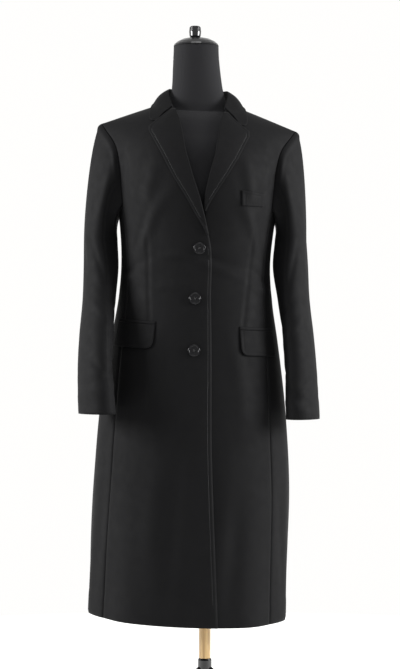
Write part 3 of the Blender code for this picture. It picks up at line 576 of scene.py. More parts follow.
class Sock:
    """A shader socket with arithmetic: Sock + Sock, Sock * 2 and so on make Math nodes."""

    def __init__(self, tree, socket):
        self.tree = tree
        self.socket = socket

    def math(self, operation, other, flip=False):
        node = self.tree.nodes.new("ShaderNodeMath")
        node.operation = operation
        for i, value in enumerate((other, self) if flip else (self, other)):
            if isinstance(value, Sock):
                self.tree.links.new(value.socket, node.inputs[i])
            else:
                node.inputs[i].default_value = value
        return Sock(self.tree, node.outputs[0])

    def __add__(self, other):
        return self.math("ADD", other)

    def __mul__(self, other):
        return self.math("MULTIPLY", other)

    def __sub__(self, other):
        return self.math("SUBTRACT", other)

    def sine(self):
        return self.math("SINE", 0.0)

    def smooth(self, low, high):
        """0 below low, 1 above high."""
        node = self.tree.nodes.new("ShaderNodeMapRange")
        node.interpolation_type = "SMOOTHSTEP"
        self.tree.links.new(self.socket, node.inputs[0])
        node.inputs[1].default_value = low
        node.inputs[2].default_value = high
        return Sock(self.tree, node.outputs[0])


class Look:
    """One Principled material, and the nodes that feed it."""

    def __init__(self, name, colour, roughness, **values):
        self.material = bpy.data.materials.new(name)
        self.material.use_nodes = True
        self.tree = self.material.node_tree
        self.shader = self.tree.nodes["Principled BSDF"]
        self.shader.inputs["Base Color"].default_value = (*colour, 1)
        self.shader.inputs["Roughness"].default_value = roughness
        for key, value in values.items():
            self.shader.inputs[key.replace("_", " ")].default_value = value

    def node(self, kind, output=0, links=(), **values):
        """Makes a node, links sockets into it by name and returns one output."""
        made = self.tree.nodes.new("ShaderNode" + kind)
        for key, value in values.items():
            made.inputs[key].default_value = value
        for key, sock in links:
            self.tree.links.new(sock.socket, made.inputs[key])
        return Sock(self.tree, made.outputs[output])

    def place(self):
        return self.node("TexCoord", "Object")

    def noise(self, scale, detail=3.0):
        return self.node("TexNoise", 0, [("Vector", self.place())], Scale=scale, Detail=detail)

    def axis(self, name):
        return self.node("SeparateXYZ", name, [("Vector", self.place())])

    def mix(self, share, low, high):
        node = self.tree.nodes.new("ShaderNodeMix")
        node.data_type = "RGBA"
        self.tree.links.new(share.socket, node.inputs[0])
        node.inputs[6].default_value = (*low, 1)
        node.inputs[7].default_value = (*high, 1)
        return Sock(self.tree, node.outputs[2])

    def bump(self, height, strength, distance):
        out = self.node("Bump", 0, [("Height", height)], Strength=strength, Distance=distance)
        self.tree.links.new(out.socket, self.shader.inputs["Normal"])

    def feed(self, key, sock):
        self.tree.links.new(sock.socket, self.shader.inputs[key])


def wool(name, seed=0.0):
    """Black napped cloth: a fine twill under a short, uneven nap."""
    look = Look(name, (0.0020, 0.0020, 0.0022), 0.66, Sheen_Weight=0.008, Sheen_Roughness=0.40)
    look.shader.inputs["Specular IOR Level"].default_value = 0.070
    nap = look.noise(900.0, 4.0)
    cloud = look.noise(14.0 + seed, 3.0)
    twill = (look.axis("X") * 2600.0 + look.axis("Z") * 3900.0 + look.axis("Y") * 1300.0).sine()
    tone = cloud * 0.6 + nap * 0.4
    look.feed("Base Color", look.mix(tone, (0.0010, 0.0010, 0.0012), (0.0026, 0.0026, 0.0029)))
    look.feed("Roughness", look.noise(60.0) * 0.18 + 0.66)
    look.bump(nap * 0.7 + twill * 0.12 + look.noise(220.0) * 0.5, 0.35, 0.0006)
    return look.material


def jersey():
    """Charcoal knit over the form: fine upright ribs and a soft fuzz."""
    look = Look("jersey", (0.008, 0.008, 0.009), 0.85, Sheen_Weight=0.02)
    look.shader.inputs["Specular IOR Level"].default_value = 0.15
    rib = (look.axis("X") * 5200.0 + look.axis("Y") * 5200.0).sine()
    row = (look.axis("Z") * 4200.0).sine()
    look.feed("Base Color", look.mix(look.noise(700.0), (0.0020, 0.0020, 0.0026), (0.0052, 0.0052, 0.0062)))
    look.bump(rib * 0.4 + row * 0.3 + look.noise(500.0) * 0.5, 0.4, 0.0005)
    return look.material


def gloss(name, colour=(0.004, 0.004, 0.0045), roughness=0.16, shine=0.35):
    """Black lacquer or polished plastic, with faint smears."""
    look = Look(name, colour, roughness)
    look.shader.inputs["Specular IOR Level"].default_value = shine
    look.feed("Roughness", look.noise(90.0) * 0.12 + (roughness - 0.05))
    look.bump(look.noise(40.0), 0.03, 0.0004)
    return look.material


def wood():
    """Varnished pale wood: long streaks up the pole."""
    look = Look("wood", (0.45, 0.27, 0.13), 0.42, Coat_Weight=0.25)
    streak = look.node("Mapping", 0, [("Vector", look.place())], Scale=(1.0, 1.0, 0.04))
    grain = look.node("TexNoise", 0, [("Vector", streak)], Scale=240.0, Detail=4.0)
    look.feed("Base Color", look.mix(grain.smooth(0.3, 0.7), (0.24, 0.14, 0.040), (0.40, 0.26, 0.10)))
    look.bump(grain, 0.15, 0.0003)
    return look.material


WOOL = wool("wool")
THREAD = Look("thread", (0.012, 0.012, 0.013), 0.6).material
JERSEY = jersey()
GLOSS = gloss("black_gloss")
BUTTON = gloss("button", (0.003, 0.003, 0.0035), 0.12, 0.15)
WOOD = wood()

# %% [markdown]
# ## The coat's body
# Six panels: two fronts, two side panels and two backs. Their common surface sinks
# by a millimetre along each seam, as pressed seams do.

# %% Fine rows and panels
STEP = 0.006


def fine_rows():
    """v of the fine rows, from the hem to the shoulder seam."""
    return np.linspace(LOW_ROWS[0], SHOULDER_V, int((SHOULDER_V - LOW_ROWS[0]) / STEP))


def seam_sink(phi, side, ends):
    """How far the cloth sinks along the edges of a panel, by distance in phi."""
    total = np.zeros(phi.shape)
    for line in ends:
        away = (phi - line) * GIRTH * side
        total = total - 0.0012 * np.exp(-((away / 0.0025) ** 2)) + 0.0007 * np.exp(-((away / 0.011) ** 2))
    return total


def hem_roll(v):
    """The hem's turn-up shows as a faint step above the edge."""
    return 0.0007 * fade(v, LOW_ROWS[0] + 0.046, LOW_ROWS[0] + 0.040) - 0.0010 * fade(v, 0.346, 0.340)


def raised(phi, v, lift):
    """Points and normals of the body's surface with the lift and the creases added."""
    surface = body(phi, v)
    out = normal(phi, v)
    rise = lift + creases(phi, v) + hem_roll(v)
    return surface + out * rise[..., None], out


def front_piece(name, side, edge, lift_sign, columns):
    v = fine_rows()
    free = edge_phi(v, edge)
    seam = side * seam_phi(v, False)
    share = np.linspace(0, 1, columns)[None, :]
    phi = free[:, None] * (1 - share) + seam[:, None] * share
    v = np.broadcast_to(v[:, None], phi.shape)
    flat = body(phi, v)
    lift = lift_sign * LAP_LIFT * lap_share(flat[..., 0], flat[..., 2])
    lift = lift + darts(flat[..., 0], flat[..., 2]) + seam_sink(phi, side, [seam[:, None]])
    stitch = (phi - free[:, None]) * GIRTH * side
    lift = lift - 0.0006 * np.exp(-(((stitch - STITCH_IN) / 0.0012) ** 2)) * (v < 1.12)
    points, out = raised(phi, v, lift)
    return soft_wall(name, points, out, WOOL)


def back_piece(name, side, columns):
    v = fine_rows()
    seam = side * seam_phi(v, True)
    turn = np.clip((v - ARM_V) / DOME_RISE, 0, math.pi / 2)
    neck_x = 0.060 * np.sqrt(fade(turn, 0.93, 1.5))
    neck = side * side_phi(neck_x + 1e-6, level_of(v), True)
    centre = np.where(neck_x > 0, neck, side * math.pi)
    share = np.linspace(0, 1, columns)[None, :]
    phi = centre[:, None] * (1 - share) + seam[:, None] * share
    v = np.broadcast_to(v[:, None], phi.shape)
    lift = seam_sink(phi, side, [seam[:, None], side * math.pi])
    points, out = raised(phi, v, lift)
    return soft_wall(name, points, out, WOOL)


def side_piece(name, side, columns):
    v = np.linspace(LOW_ROWS[0], JOINT_LEVEL, 140)
    share = np.linspace(0, 1, columns)[None, :]
    front = seam_phi(v, False)
    back = seam_phi(v, True)
    phi = front[:, None] * (1 - share) + back[:, None] * share
    v = np.broadcast_to(v[:, None], phi.shape)
    cut = (JOINT_LEVEL - underarm_v(phi)) * fade(v, 1.05, JOINT_LEVEL)
    v = v - cut
    lift = seam_sink(phi, 1, [front[:, None], back[:, None]])
    points, out = raised(side * phi, v, lift)
    return soft_wall(name, points, out, WOOL)


def declare(nodes):
    """Hides the CAD nodes that a sheet of cloth stands for."""
    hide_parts(*nodes)


front_right = front_piece("coat_right_front", -1, RIGHT_EDGE, 1, 46)
front_left = front_piece("coat_left_front", 1, LEFT_EDGE, -1, 46)
back_right = back_piece("coat_right_back", -1, 34)
back_left = back_piece("coat_left_back", 1, 34)
side_right = side_piece("coat_right_side", -1, 30)
side_left = side_piece("coat_left_side", 1, 30)
panels = (front_right, front_left, back_right, back_left, side_right, side_left)
print("Body panels:", [panel.name for panel in panels])

# %% [markdown]
# ## Sleeves
# A sleeve is a tube from the armhole to the cuff. Each point round it follows a
# cubic curve from the armhole's edge, where it leaves the shoulder sideways, to the
# first oval section, where it hangs straight down. Below that the ovals follow the
# arm's forward pitch. Creases gather at the elbow and under the arm.

# %% Sleeves
ROUND = 104
SLEEVE_CREASE_COLUMNS = ("turn", "down", "runs", "half_length", "half_width", "swell")
RIGHT_SLEEVE_CREASES = (
    (75.0, 0.060, 70.0, 0.060, 0.010, -0.0022),
    (20.0, 0.045, 84.0, 0.050, 0.010, -0.0016),
    (120.0, 0.150, 30.0, 0.050, 0.008, -0.0022),
    (95.0, 0.190, 38.0, 0.070, 0.011, 0.0030),
    (60.0, 0.300, 24.0, 0.050, 0.009, -0.0022),
    (110.0, 0.315, -20.0, 0.045, 0.008, -0.0024),
    (85.0, 0.350, -14.0, 0.060, 0.010, 0.0028),
    (30.0, 0.380, 18.0, 0.045, 0.008, -0.0020),
    (150.0, 0.290, 34.0, 0.045, 0.008, -0.0020),
    (230.0, 0.310, -18.0, 0.055, 0.010, 0.0024),
    (250.0, 0.345, -10.0, 0.050, 0.008, -0.0022),
    (70.0, 0.470, 80.0, 0.070, 0.010, 0.0022),
    (40.0, 0.500, 86.0, 0.060, 0.009, -0.0018),
    (200.0, 0.440, 74.0, 0.060, 0.010, -0.0018),
)
LEFT_SLEEVE_CREASES = (
    (80.0, 0.070, 74.0, 0.060, 0.010, -0.0022),
    (15.0, 0.050, 82.0, 0.045, 0.009, -0.0016),
    (115.0, 0.170, 34.0, 0.055, 0.009, -0.0024),
    (90.0, 0.210, 28.0, 0.060, 0.010, 0.0028),
    (50.0, 0.325, 20.0, 0.050, 0.008, -0.0022),
    (100.0, 0.340, -24.0, 0.050, 0.009, -0.0026),
    (75.0, 0.372, -10.0, 0.060, 0.010, 0.0028),
    (25.0, 0.355, 26.0, 0.045, 0.008, -0.0018),
    (155.0, 0.300, 30.0, 0.045, 0.008, -0.0020),
    (235.0, 0.325, -14.0, 0.055, 0.010, 0.0024),
    (255.0, 0.365, -6.0, 0.050, 0.008, -0.0020),
    (60.0, 0.480, 84.0, 0.070, 0.010, 0.0022),
    (195.0, 0.450, 70.0, 0.060, 0.010, -0.0018),
)
CAP_ROWS = 40
ARM_ROWS = 64
SLEEVE_GAP = 0.0006
SLEEVE_PULL = 0.75
CAP_EASE = 0.48
TUCK_ROWS = 2
TUCK_DEPTH = 0.0036
TUCK_LENGTH = 0.0060


def armhole_curve(side):
    """ROUND points, evenly spaced, round an armhole: down the front, up the back."""
    down = np.linspace(SHOULDER_V, JOINT_LEVEL, 120)
    low = side_phi(curve(JOINT_LEVEL, ARMHOLE, 1), JOINT_LEVEL, False)
    high = side_phi(curve(JOINT_LEVEL, ARMHOLE, 2), JOINT_LEVEL, True)
    bow = low + (high - low) * np.linspace(0, 1, 60)[1:-1]
    phi = np.concatenate([seam_phi(down, False), bow, seam_phi(down[::-1], True)])
    v = np.concatenate([down, underarm_v(bow), down[::-1]])
    loop = body(side * phi, v)
    far = np.concatenate([[0], np.cumsum(np.linalg.norm(np.diff(loop, axis=0), axis=1))])
    at = np.linspace(0, far[-1], ROUND, endpoint=False)
    return np.stack([np.interp(at, far, loop[:, k]) for k in range(3)], axis=-1)


def sleeve_points(side, sections):
    """Rows of a sleeve's outside, from the armhole down to the cuff."""
    loop = armhole_curve(side)
    turn = np.linspace(0, 2 * math.pi, ROUND, endpoint=False)
    lower = -np.cos(turn)
    heights = np.linspace(sections[0][0], sections[-1][0], ARM_ROWS)
    cx, cy, wide, deep, yaw = (curve(heights, sections, k)[:, None] for k in range(1, 6))
    spin = -np.radians(yaw)
    out = wide * np.cos(turn)
    fore = -deep * np.sin(turn)
    x = cx + side * out * np.cos(spin) - side * fore * np.sin(spin)
    y = cy + fore * np.cos(spin) + out * np.sin(spin)
    tube = np.stack([x, y, np.broadcast_to(heights[:, None], x.shape)], axis=-1)
    top = tube[0]
    start = np.stack([
        side * (0.95 - 0.30 * fade(lower, 0.2, 1.0)),
        -0.25 * np.sin(turn),
        -0.36 - 0.10 * fade(lower, -0.2, 0.6) - 0.5 * fade(lower, 0.4, 1.0),
    ], axis=-1)
    start = start / np.linalg.norm(start, axis=1, keepdims=True)
    seat = loop + start * SLEEVE_GAP
    inward = np.stack([-side * 0.55 + 0 * turn, 0.55 * np.sin(turn), -0.75 * np.cos(turn)], axis=-1)
    under = loop + inward * TUCK_DEPTH
    tuck = np.stack([under - start * TUCK_LENGTH, under])
    t = np.linspace(0, 1, CAP_ROWS)[:-1, None, None]
    reach = np.linalg.norm(top - loop, axis=1)[:, None]
    pull = SLEEVE_PULL * reach
    push = (SLEEVE_PULL - CAP_EASE * fade(lower, 0.2, -0.6))[:, None] * reach
    cap = (1 + 2 * t) * (1 - t) ** 2 * seat + t * t * (3 - 2 * t) * top
    cap = cap + t * (1 - t) ** 2 * push * start + t * t * (1 - t) * pull * np.array([0, 0, 1.0])
    return np.concatenate([tuck, cap, tube]), turn


def sleeve_piece(name, side, sections, rows):
    grid, turn = sleeve_points(side, sections)
    out = grid_slopes(grid, True)
    middle = grid.mean(axis=1, keepdims=True)
    out = out * np.sign(np.sum(out * (grid - middle), axis=-1).mean())
    steps = np.linalg.norm(np.diff(grid, axis=0), axis=2)
    down = np.concatenate([np.zeros((1, ROUND)), np.cumsum(steps, axis=0)])
    down = down - down[CAP_ROWS + TUCK_ROWS - 1] + 0.12
    seat = down[TUCK_ROWS]
    rise = np.zeros(down.shape)
    for degrees, at, runs, length, width, swell in rows:
        s = ((turn - math.radians(degrees) + math.pi) % (2 * math.pi) - math.pi) * 0.055
        t = down - at - 0.10
        angle = math.radians(runs)
        along = s * math.cos(angle) + t * math.sin(angle)
        across = t * math.cos(angle) - s * math.sin(angle)
        across = across + 0.2 * width * np.sin(along / length * 3.0 + degrees)
        rise = rise + swell * np.exp(-(along / length) ** 2 - (across / width) ** 2)
    rise = rise * fade(down - seat, 0.004, 0.035)
    rise = rise + 0.0024 * np.exp(-(((down - seat - 0.010) / 0.007) ** 2)) * fade(np.cos(turn), -0.5, 0.5)
    rise[:TUCK_ROWS] = 0
    for seam in (FRONT_SEAM_TURN, 2 * math.pi - FRONT_SEAM_TURN):
        away = (turn - seam) * 0.055
        rise = rise - 0.0010 * np.exp(-((away / 0.0022) ** 2)) + 0.0006 * np.exp(-((away / 0.009) ** 2))
    cuff = down[-1] - down
    rise = rise + 0.0006 * fade(cuff, 0.042, 0.036)
    return soft_wall(name, grid + out * rise[..., None], out, WOOL, closed=True)


FRONT_SEAM_TURN = math.radians(104)
sleeve_right = sleeve_piece("coat_right_sleeve", -1, RIGHT_SLEEVE, RIGHT_SLEEVE_CREASES)
sleeve_left = sleeve_piece("coat_left_sleeve", 1, LEFT_SLEEVE, LEFT_SLEEVE_CREASES)
print("Sleeves:", sleeve_right.name, sleeve_left.name)

# %% [markdown]
# ## Lapels and collar
# A lapel is the front's own edge, rolled back. Its grid starts under the roll, turns
# round it on a small radius and then lies on the chest, lifting towards its edge.

# %% Lapels
ROLL = 0.0024


def lapel_rise(base, wide, share, z, side):
    """How far a lapel's face lies off the front: fullest beside the roll."""
    puff = 0.0034 * np.exp(-wide * share / 0.020) + 0.0008 * np.sin(share * math.pi)
    slack = 0.0012 * np.sin(z * 31.0 + side) * share
    return base + 0.0008 + SHELL + puff + slack


def lapel_piece(name, side, rows, lift_sign):
    known = np.array([row[0] for row in rows])
    z = np.linspace(known[0], known[-1], 96)
    z = np.sort(np.concatenate([z, known[1:-1]]))
    roll = np.interp(z, known, [row[1] for row in rows])[:, None]
    edge = np.interp(z, known, [row[2] for row in rows])[:, None]
    share = np.linspace(0, 1, 40)[None, :]
    x = roll + (edge - roll) * share
    z = np.broadcast_to(z[:, None], x.shape)
    phi, v = on_front(x, z)
    surface = body(phi, v)
    out = normal(phi, v)
    wide = np.abs(edge - roll)
    away = wide * share
    base = lift_sign * LAP_LIFT * lap_share(surface[..., 0], surface[..., 2])
    edge_line = 0.0005 * np.exp(-(((wide - away - STITCH_IN) / 0.0012) ** 2))
    lift = lapel_rise(base, wide, share, z, side) - edge_line
    lie = surface + out * lift[..., None]
    toward = lie[:, 1:2] - lie[:, 0:1]
    toward = toward / np.maximum(np.linalg.norm(toward, axis=-1, keepdims=True), 1e-9)
    turns = np.linspace(-0.5 * math.pi, 0.42 * math.pi, 10)[None, :, None]
    hub = lie[:, 0:1] - out[:, 0:1] * ROLL
    bend = hub + out[:, 0:1] * ROLL * np.sin(turns) - toward * ROLL * np.cos(turns)
    grid = np.concatenate([bend, lie], axis=1)
    normals = grid_slopes(grid)
    normals = normals * np.sign(np.sum(normals[:, 12:] * out[:, 2:], axis=-1).mean())
    return soft_wall(name, grid, normals, WOOL, thick=0.0014)


lapel_right = lapel_piece("coat_right_lapel", -1, RIGHT_LAPEL, 1)
lapel_left = lapel_piece("coat_left_lapel", 1, LEFT_LAPEL, -1)

# %% Collar


def collar_piece(name):
    """The stand and the fall as one cloth, turned over at the fold."""
    stations = collar_stations()
    s = np.linspace(0, 1, 150)
    knots = np.linspace(0, 1, len(stations))
    table = [(k, *row) for k, row in zip(knots, stations)]
    read = np.stack([curve(s, table, column + 1) for column in range(9)], axis=-1)
    foot, fold, edge = read[:, 0:3], read[:, 3:6], read[:, 6:9]
    fold_in = fold + (0, 0, 0.0008)
    back = fade(np.abs(s - 0.5), 0.46, 0.30)[None, :, None]
    crest = fold + np.array([0, 0, 1.0]) * (0.0016 + 0.0030 * back[0])
    w = np.linspace(0, 1, 34)[:, None, None]
    fall = crest * (1 - w) + edge * w
    out = grid_slopes(fall)
    out = out * np.sign(out[..., 2].mean())
    wave = 0.0008 * np.sin(s * 40.0)[None, :, None] * w
    fall = fall + out * ((0.0010 + 0.0038 * back) * np.sin(w * math.pi) + wave)
    clear = END_CLEAR + (COLLAR_CLEAR - END_CLEAR) * back[..., 0]
    seat = shoulder_height(fall[..., 0], fall[..., 1]) + clear
    fall[..., 2] = np.maximum(fall[..., 2], seat)
    rise = np.linspace(0, 1, 12)[:, None, None]
    stand = (foot + (0, 0, 0.0006)) * (1 - rise) + fold_in * rise
    grid = np.concatenate([stand, fall])
    for _ in range(3):
        grid[11:16] = (grid[10:15] + 2 * grid[11:16] + grid[12:17]) / 4
    normals = grid_slopes(grid)
    normals = normals * np.sign(normals[20:, :, 2].mean())
    return soft_wall(name, grid, normals, WOOL, thick=0.0016)


def collar_stations():
    """The collar's rows from the wearer's right round the back to the left."""
    middle = -0.0035
    left = []
    for row in reversed(COLLAR_HALF):
        other = list(row)
        for k in (0, 3, 6):
            other[k] = 2 * middle - row[k]
            other[k + 2] = row[k + 2] - LEAN * (other[k] - row[k])
        left.append(other)
    for row, drop in zip(left[::-1], LEFT_DROP):
        row[7] -= 0.6 * drop
        row[8] -= drop
    return [list(row) for row in COLLAR_HALF] + [list(COLLAR_MIDDLE)] + left


collar = collar_piece("coat_collar")
print("Collar and lapels:", collar.name, lapel_right.name, lapel_left.name)

# %% [markdown]
# ## Pockets
# Each flap hangs from a narrow jet, and a welt stands over the breast pocket. All
# follow the front's surface, a little proud of it, with a line of edge stitching.

# %% Flaps, jets and the welt


def laid_piece(name, phi, v, lift, thick, stitch=None):
    """A piece that lies on the body's surface, with a lift at each point."""
    rise = lift + thick + creases(phi, v)
    if stitch is not None:
        rise = rise - stitch
    surface = body(phi, v)
    out = normal(phi, v)
    return soft_wall(name, surface + out * rise[..., None], out, WOOL, thick=thick)


def stitch_groove(distance):
    """A shallow groove 6.5 mm in from an edge, where the edge stitching lies."""
    return 0.0005 * np.exp(-(((distance - STITCH_IN) / 0.0011) ** 2))


def flap_piece(name, x, z, length, height, slope, side):
    phi, v = on_front(np.array(x), np.array(z))
    rate = gap_angle(phi, v, 1.0)
    u = np.linspace(0, 1, 60)[None, :]
    w = np.linspace(0, 1, 34)[:, None]
    round_front = FLAP_CORNER * (1 - np.sqrt(1 - np.clip(1 - u * length / FLAP_CORNER, 0, 1) ** 2))
    turn = phi + side * rate * length * (u + 0 * w)
    drop = v + slope * length * u - (height - round_front) * w
    near = np.minimum(np.minimum(u * length, (1 - u) * length), (1 - w) * height)
    lift = TOP_GAP + 0.0012 * w + 0.0010 * np.sin(u * 4.2 + 0.6) * w
    return laid_piece(name, turn, drop, lift, 0.0020, stitch_groove(near))


def jet_piece(name, x, z, length, slope, side):
    phi, v = on_front(np.array(x), np.array(z))
    rate = gap_angle(phi, v, 1.0)
    u = np.linspace(0, 1, 50)[None, :]
    w = np.linspace(0, 1, 10)[:, None]
    turn = phi + side * rate * length * (u + 0 * w)
    rise = v + slope * length * u + 0.0004 + 0.006 * w
    lift = TOP_GAP + 0.0006 * np.sin(w * math.pi) + 0 * u
    return laid_piece(name, turn, rise, lift, 0.0015)


def welt_piece(name, corners):
    a, b, c, d = (np.array(corner) for corner in corners)
    u = np.linspace(0, 1, 40)[None, :, None]
    w = np.linspace(0, 1, 24)[:, None, None]
    flat = (a * (1 - u) + b * u) * (1 - w) + (d * (1 - u) + c * u) * w
    phi, v = on_front(flat[..., 0], flat[..., 1])
    u, w = u[..., 0], w[..., 0]
    near = np.minimum(np.minimum(u * 0.046, (1 - u) * 0.046), (1 - w) * 0.030)
    return laid_piece(name, phi, v, TOP_GAP + 0.0004 * w + 0 * u, 0.0020, stitch_groove(near))


FLAP_CORNER = 0.014
FLAP_COLUMNS = ("side", "x", "z", "length", "height", "slope")
FLAPS = ((-1, -0.0905, 0.945, 0.110, 0.050, 0.03), (1, 0.0805, 0.934, 0.100, 0.052, 0.0))
WELT = ((0.0840, 1.1880), (0.1285, 1.1870), (0.1310, 1.2130), (0.0845, 1.2190))
SIDE_NAME = {-1: "right", 1: "left"}
flaps = {}
jets = {}
for side, x, z, length, height, slope in FLAPS:
    name = SIDE_NAME[side]
    flaps[side] = flap_piece("coat_" + name + "_flap", x, z, length, height, slope, side)
    jets[side] = jet_piece("coat_" + name + "_jet", x, z, length, slope, side)
welt = welt_piece("coat_breast_welt", WELT)
print("Pockets:", [o.name for o in (*flaps.values(), *jets.values(), welt)])

# %% [markdown]
# ## Buttons
# A dished disc with a raised rim and four holes. Its profile is turned, and the
# holes are pressed into the fine grid by a formula, so light falls into them.
# Two threads cross between the holes, each from one hole to the one opposite.

# %% Buttons
BUTTON_COLUMNS = ("name", "x", "z")
BUTTONS = (
    ("button_top", -0.0010, 1.101),
    ("button_middle", -0.0102, 0.998),
    ("button_bottom", -0.0122, 0.892),
)
HOLE_R = 0.0011
HOLE_OUT = 0.0028
BUTTON_THICK = 0.0042
RIM_START = 0.72


def button_frame(x, z):
    """Centre and three axes of a button that lies on the right front."""
    phi, v = on_front(np.array(x), np.array(z))
    out = normal(phi, v)
    side = np.cross((0, 0, 1.0), out)
    side = side / np.linalg.norm(side)
    up = np.cross(out, side)
    lift = LAP_LIFT * float(lap_share(x, z)) + TOP_GAP
    return body(phi, v) + out * lift, side, up, out


def button_height(r, turn):
    """Height of the button's face: a dish inside a round rim, with four holes."""
    share = r / BUTTON_R
    rim = np.sqrt(np.clip(1 - ((share - 0.86) / 0.145) ** 2, 0, 1))
    dish = BUTTON_THICK * (0.60 + 0.10 * share**2)
    face = np.where(share < RIM_START, dish, BUTTON_THICK * (0.66 + 0.34 * rim))
    px, pz = r * np.cos(turn), r * np.sin(turn)
    hole = np.zeros(px.shape)
    for k in range(4):
        angle = math.pi / 4 + k * math.pi / 2
        away = np.hypot(px - HOLE_OUT * math.cos(angle), pz - HOLE_OUT * math.sin(angle))
        hole = np.maximum(hole, 1 - fade(away, 0.75 * HOLE_R, 1.15 * HOLE_R))
    return face - 0.0016 * hole


def button_piece(name, x, z):
    centre, side, up, out = button_frame(x, z)
    columns = 96
    turn = np.linspace(0, 2 * math.pi, columns, endpoint=False)[None, :]
    r = np.concatenate([np.linspace(0.00002, 0.005, 40), np.linspace(0.0052, BUTTON_R, 44)])[:, None]
    top = button_height(r, turn)
    under_r = np.array([1.0, 0.995, 0.90, 0.70, 0.30, 0.002])[:, None] * BUTTON_R
    under = np.array([0.50, 0.30, 0.06, 0.0, 0.0, 0.0])[:, None] * BUTTON_THICK + 0 * turn
    radius = np.concatenate([r + 0 * turn, under_r + 0 * turn])
    height = np.concatenate([top, under])
    points = centre + radius[..., None] * (np.cos(turn)[..., None] * side + np.sin(turn)[..., None] * up)
    points = points + height[..., None] * out
    rows = points.shape[0]
    faces = [grid_faces(rows, columns, 0, True, False)]
    obj = mesh_object("coat_" + name, points.reshape(-1, 3), faces, BUTTON)
    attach(obj, "root")
    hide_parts(name)
    return obj


def tube_grid(path, radius, sides=8):
    """Points of a round tube along a path of points."""
    step = np.gradient(path, axis=0)
    step = step / np.linalg.norm(step, axis=1, keepdims=True)
    first = np.cross(step, (0.31, 0.17, 0.93))
    first = first / np.linalg.norm(first, axis=1, keepdims=True)
    second = np.cross(step, first)
    turn = np.linspace(0, 2 * math.pi, sides, endpoint=False)
    ring = np.cos(turn)[None, :, None] * first[:, None] + np.sin(turn)[None, :, None] * second[:, None]
    return path[:, None] + radius * ring


def join_tubes(name, grids, look):
    """Several open tubes, each a grid of rings, in one mesh."""
    points, faces, start = [], [], 0
    for grid in grids:
        rows, columns = grid.shape[:2]
        faces.append(grid_faces(rows, columns, start, True, False))
        points.append(grid.reshape(-1, 3))
        start += rows * columns
    obj = mesh_object(name, np.concatenate(points), faces, look)
    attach(obj, "root")
    return obj


def button_threads():
    grids = []
    for _, x, z in BUTTONS:
        centre, side, up, out = button_frame(x, z)
        for k in (0, 1):
            first = math.pi / 4 + k * math.pi / 2
            turns = (first, first + math.pi)
            ends = [HOLE_OUT * (math.cos(a) * side + math.sin(a) * up) for a in turns]
            t = np.linspace(0, 1, 12)[:, None]
            arch = 0.0006 * np.sin(t * math.pi) + BUTTON_THICK * 0.56 + 0.0003 * k
            grids.append(tube_grid(centre + ends[0] * (1 - t) + ends[1] * t + out * arch, 0.00038))
    return join_tubes("button_threads", grids, THREAD)


buttons = [button_piece(*row) for row in BUTTONS]
threads = button_threads()
print("Buttons:", [o.name for o in buttons])

# %% [markdown]
# ## The edge stitching
# Short stitches lie 6.5 mm in from the right front's edge and the lapels' edges.

# %% Stitches
STITCH_LENGTH = 0.0035
STITCH_GAP = 0.0012
STITCH_SUNK = 0.0003


def stitches_along(path, out):
    """Short arched tubes along a path of points, one stitch after another."""
    far = np.concatenate([[0], np.cumsum(np.linalg.norm(np.diff(path, axis=0), axis=1))])
    grids = []
    for start in np.arange(0.004, far[-1] - STITCH_LENGTH, STITCH_LENGTH + STITCH_GAP):
        at = start + np.linspace(0, STITCH_LENGTH, 5)
        points = np.stack([np.interp(at, far, path[:, k]) for k in range(3)], axis=-1)
        normals = np.stack([np.interp(at, far, out[:, k]) for k in range(3)], axis=-1)
        arch = np.sin(np.linspace(0, math.pi, 5))[:, None] * 0.00025
        grids.append(tube_grid(points + normals * arch, 0.00024, 5))
    return grids


def edge_stitches():
    v = np.linspace(0.346, 1.105, 400)
    phi = edge_phi(v, RIGHT_EDGE) - STITCH_IN / GIRTH
    flat = body(phi, v)
    out = normal(phi, v)
    lift = LAP_LIFT * lap_share(flat[..., 0], flat[..., 2]) + creases(phi, v) - STITCH_SUNK
    grids = stitches_along(flat + out * lift[:, None], out)
    for rows, sign in ((RIGHT_LAPEL, 1), (LEFT_LAPEL, -1)):
        known = [row[0] for row in rows]
        tip = 7 if sign > 0 else 6
        z = np.linspace(known[1], known[tip] - 0.004, 200)
        edge = np.interp(z, known, [row[2] for row in rows])
        roll = np.interp(z, known, [row[1] for row in rows])
        wide = np.abs(edge - roll)
        share = np.clip((wide - STITCH_IN) / np.maximum(wide, 1e-6), 0, 1)
        phi, v = on_front(roll + (edge - roll) * share, z)
        flat = body(phi, v)
        out = normal(phi, v)
        base = sign * LAP_LIFT * lap_share(flat[..., 0], flat[..., 2])
        side = -1 if sign > 0 else 1
        lift = lapel_rise(base, wide, share, z, side) - STITCH_SUNK
        keep = wide > 0.012
        grids += stitches_along((flat + out * lift[:, None])[keep], out[keep])
    return join_tubes("edge_stitches", grids, THREAD)


stitching = edge_stitches()
print("Stitching triangles:", 2 * len(stitching.data.polygons))

# %% [markdown]
# ## The dress form
# The chest and neck show in the coat's V, so the trunk gets a fine skin of jersey
# on the same ovals. The cap, finial, pole, hub and legs keep their turned shapes.

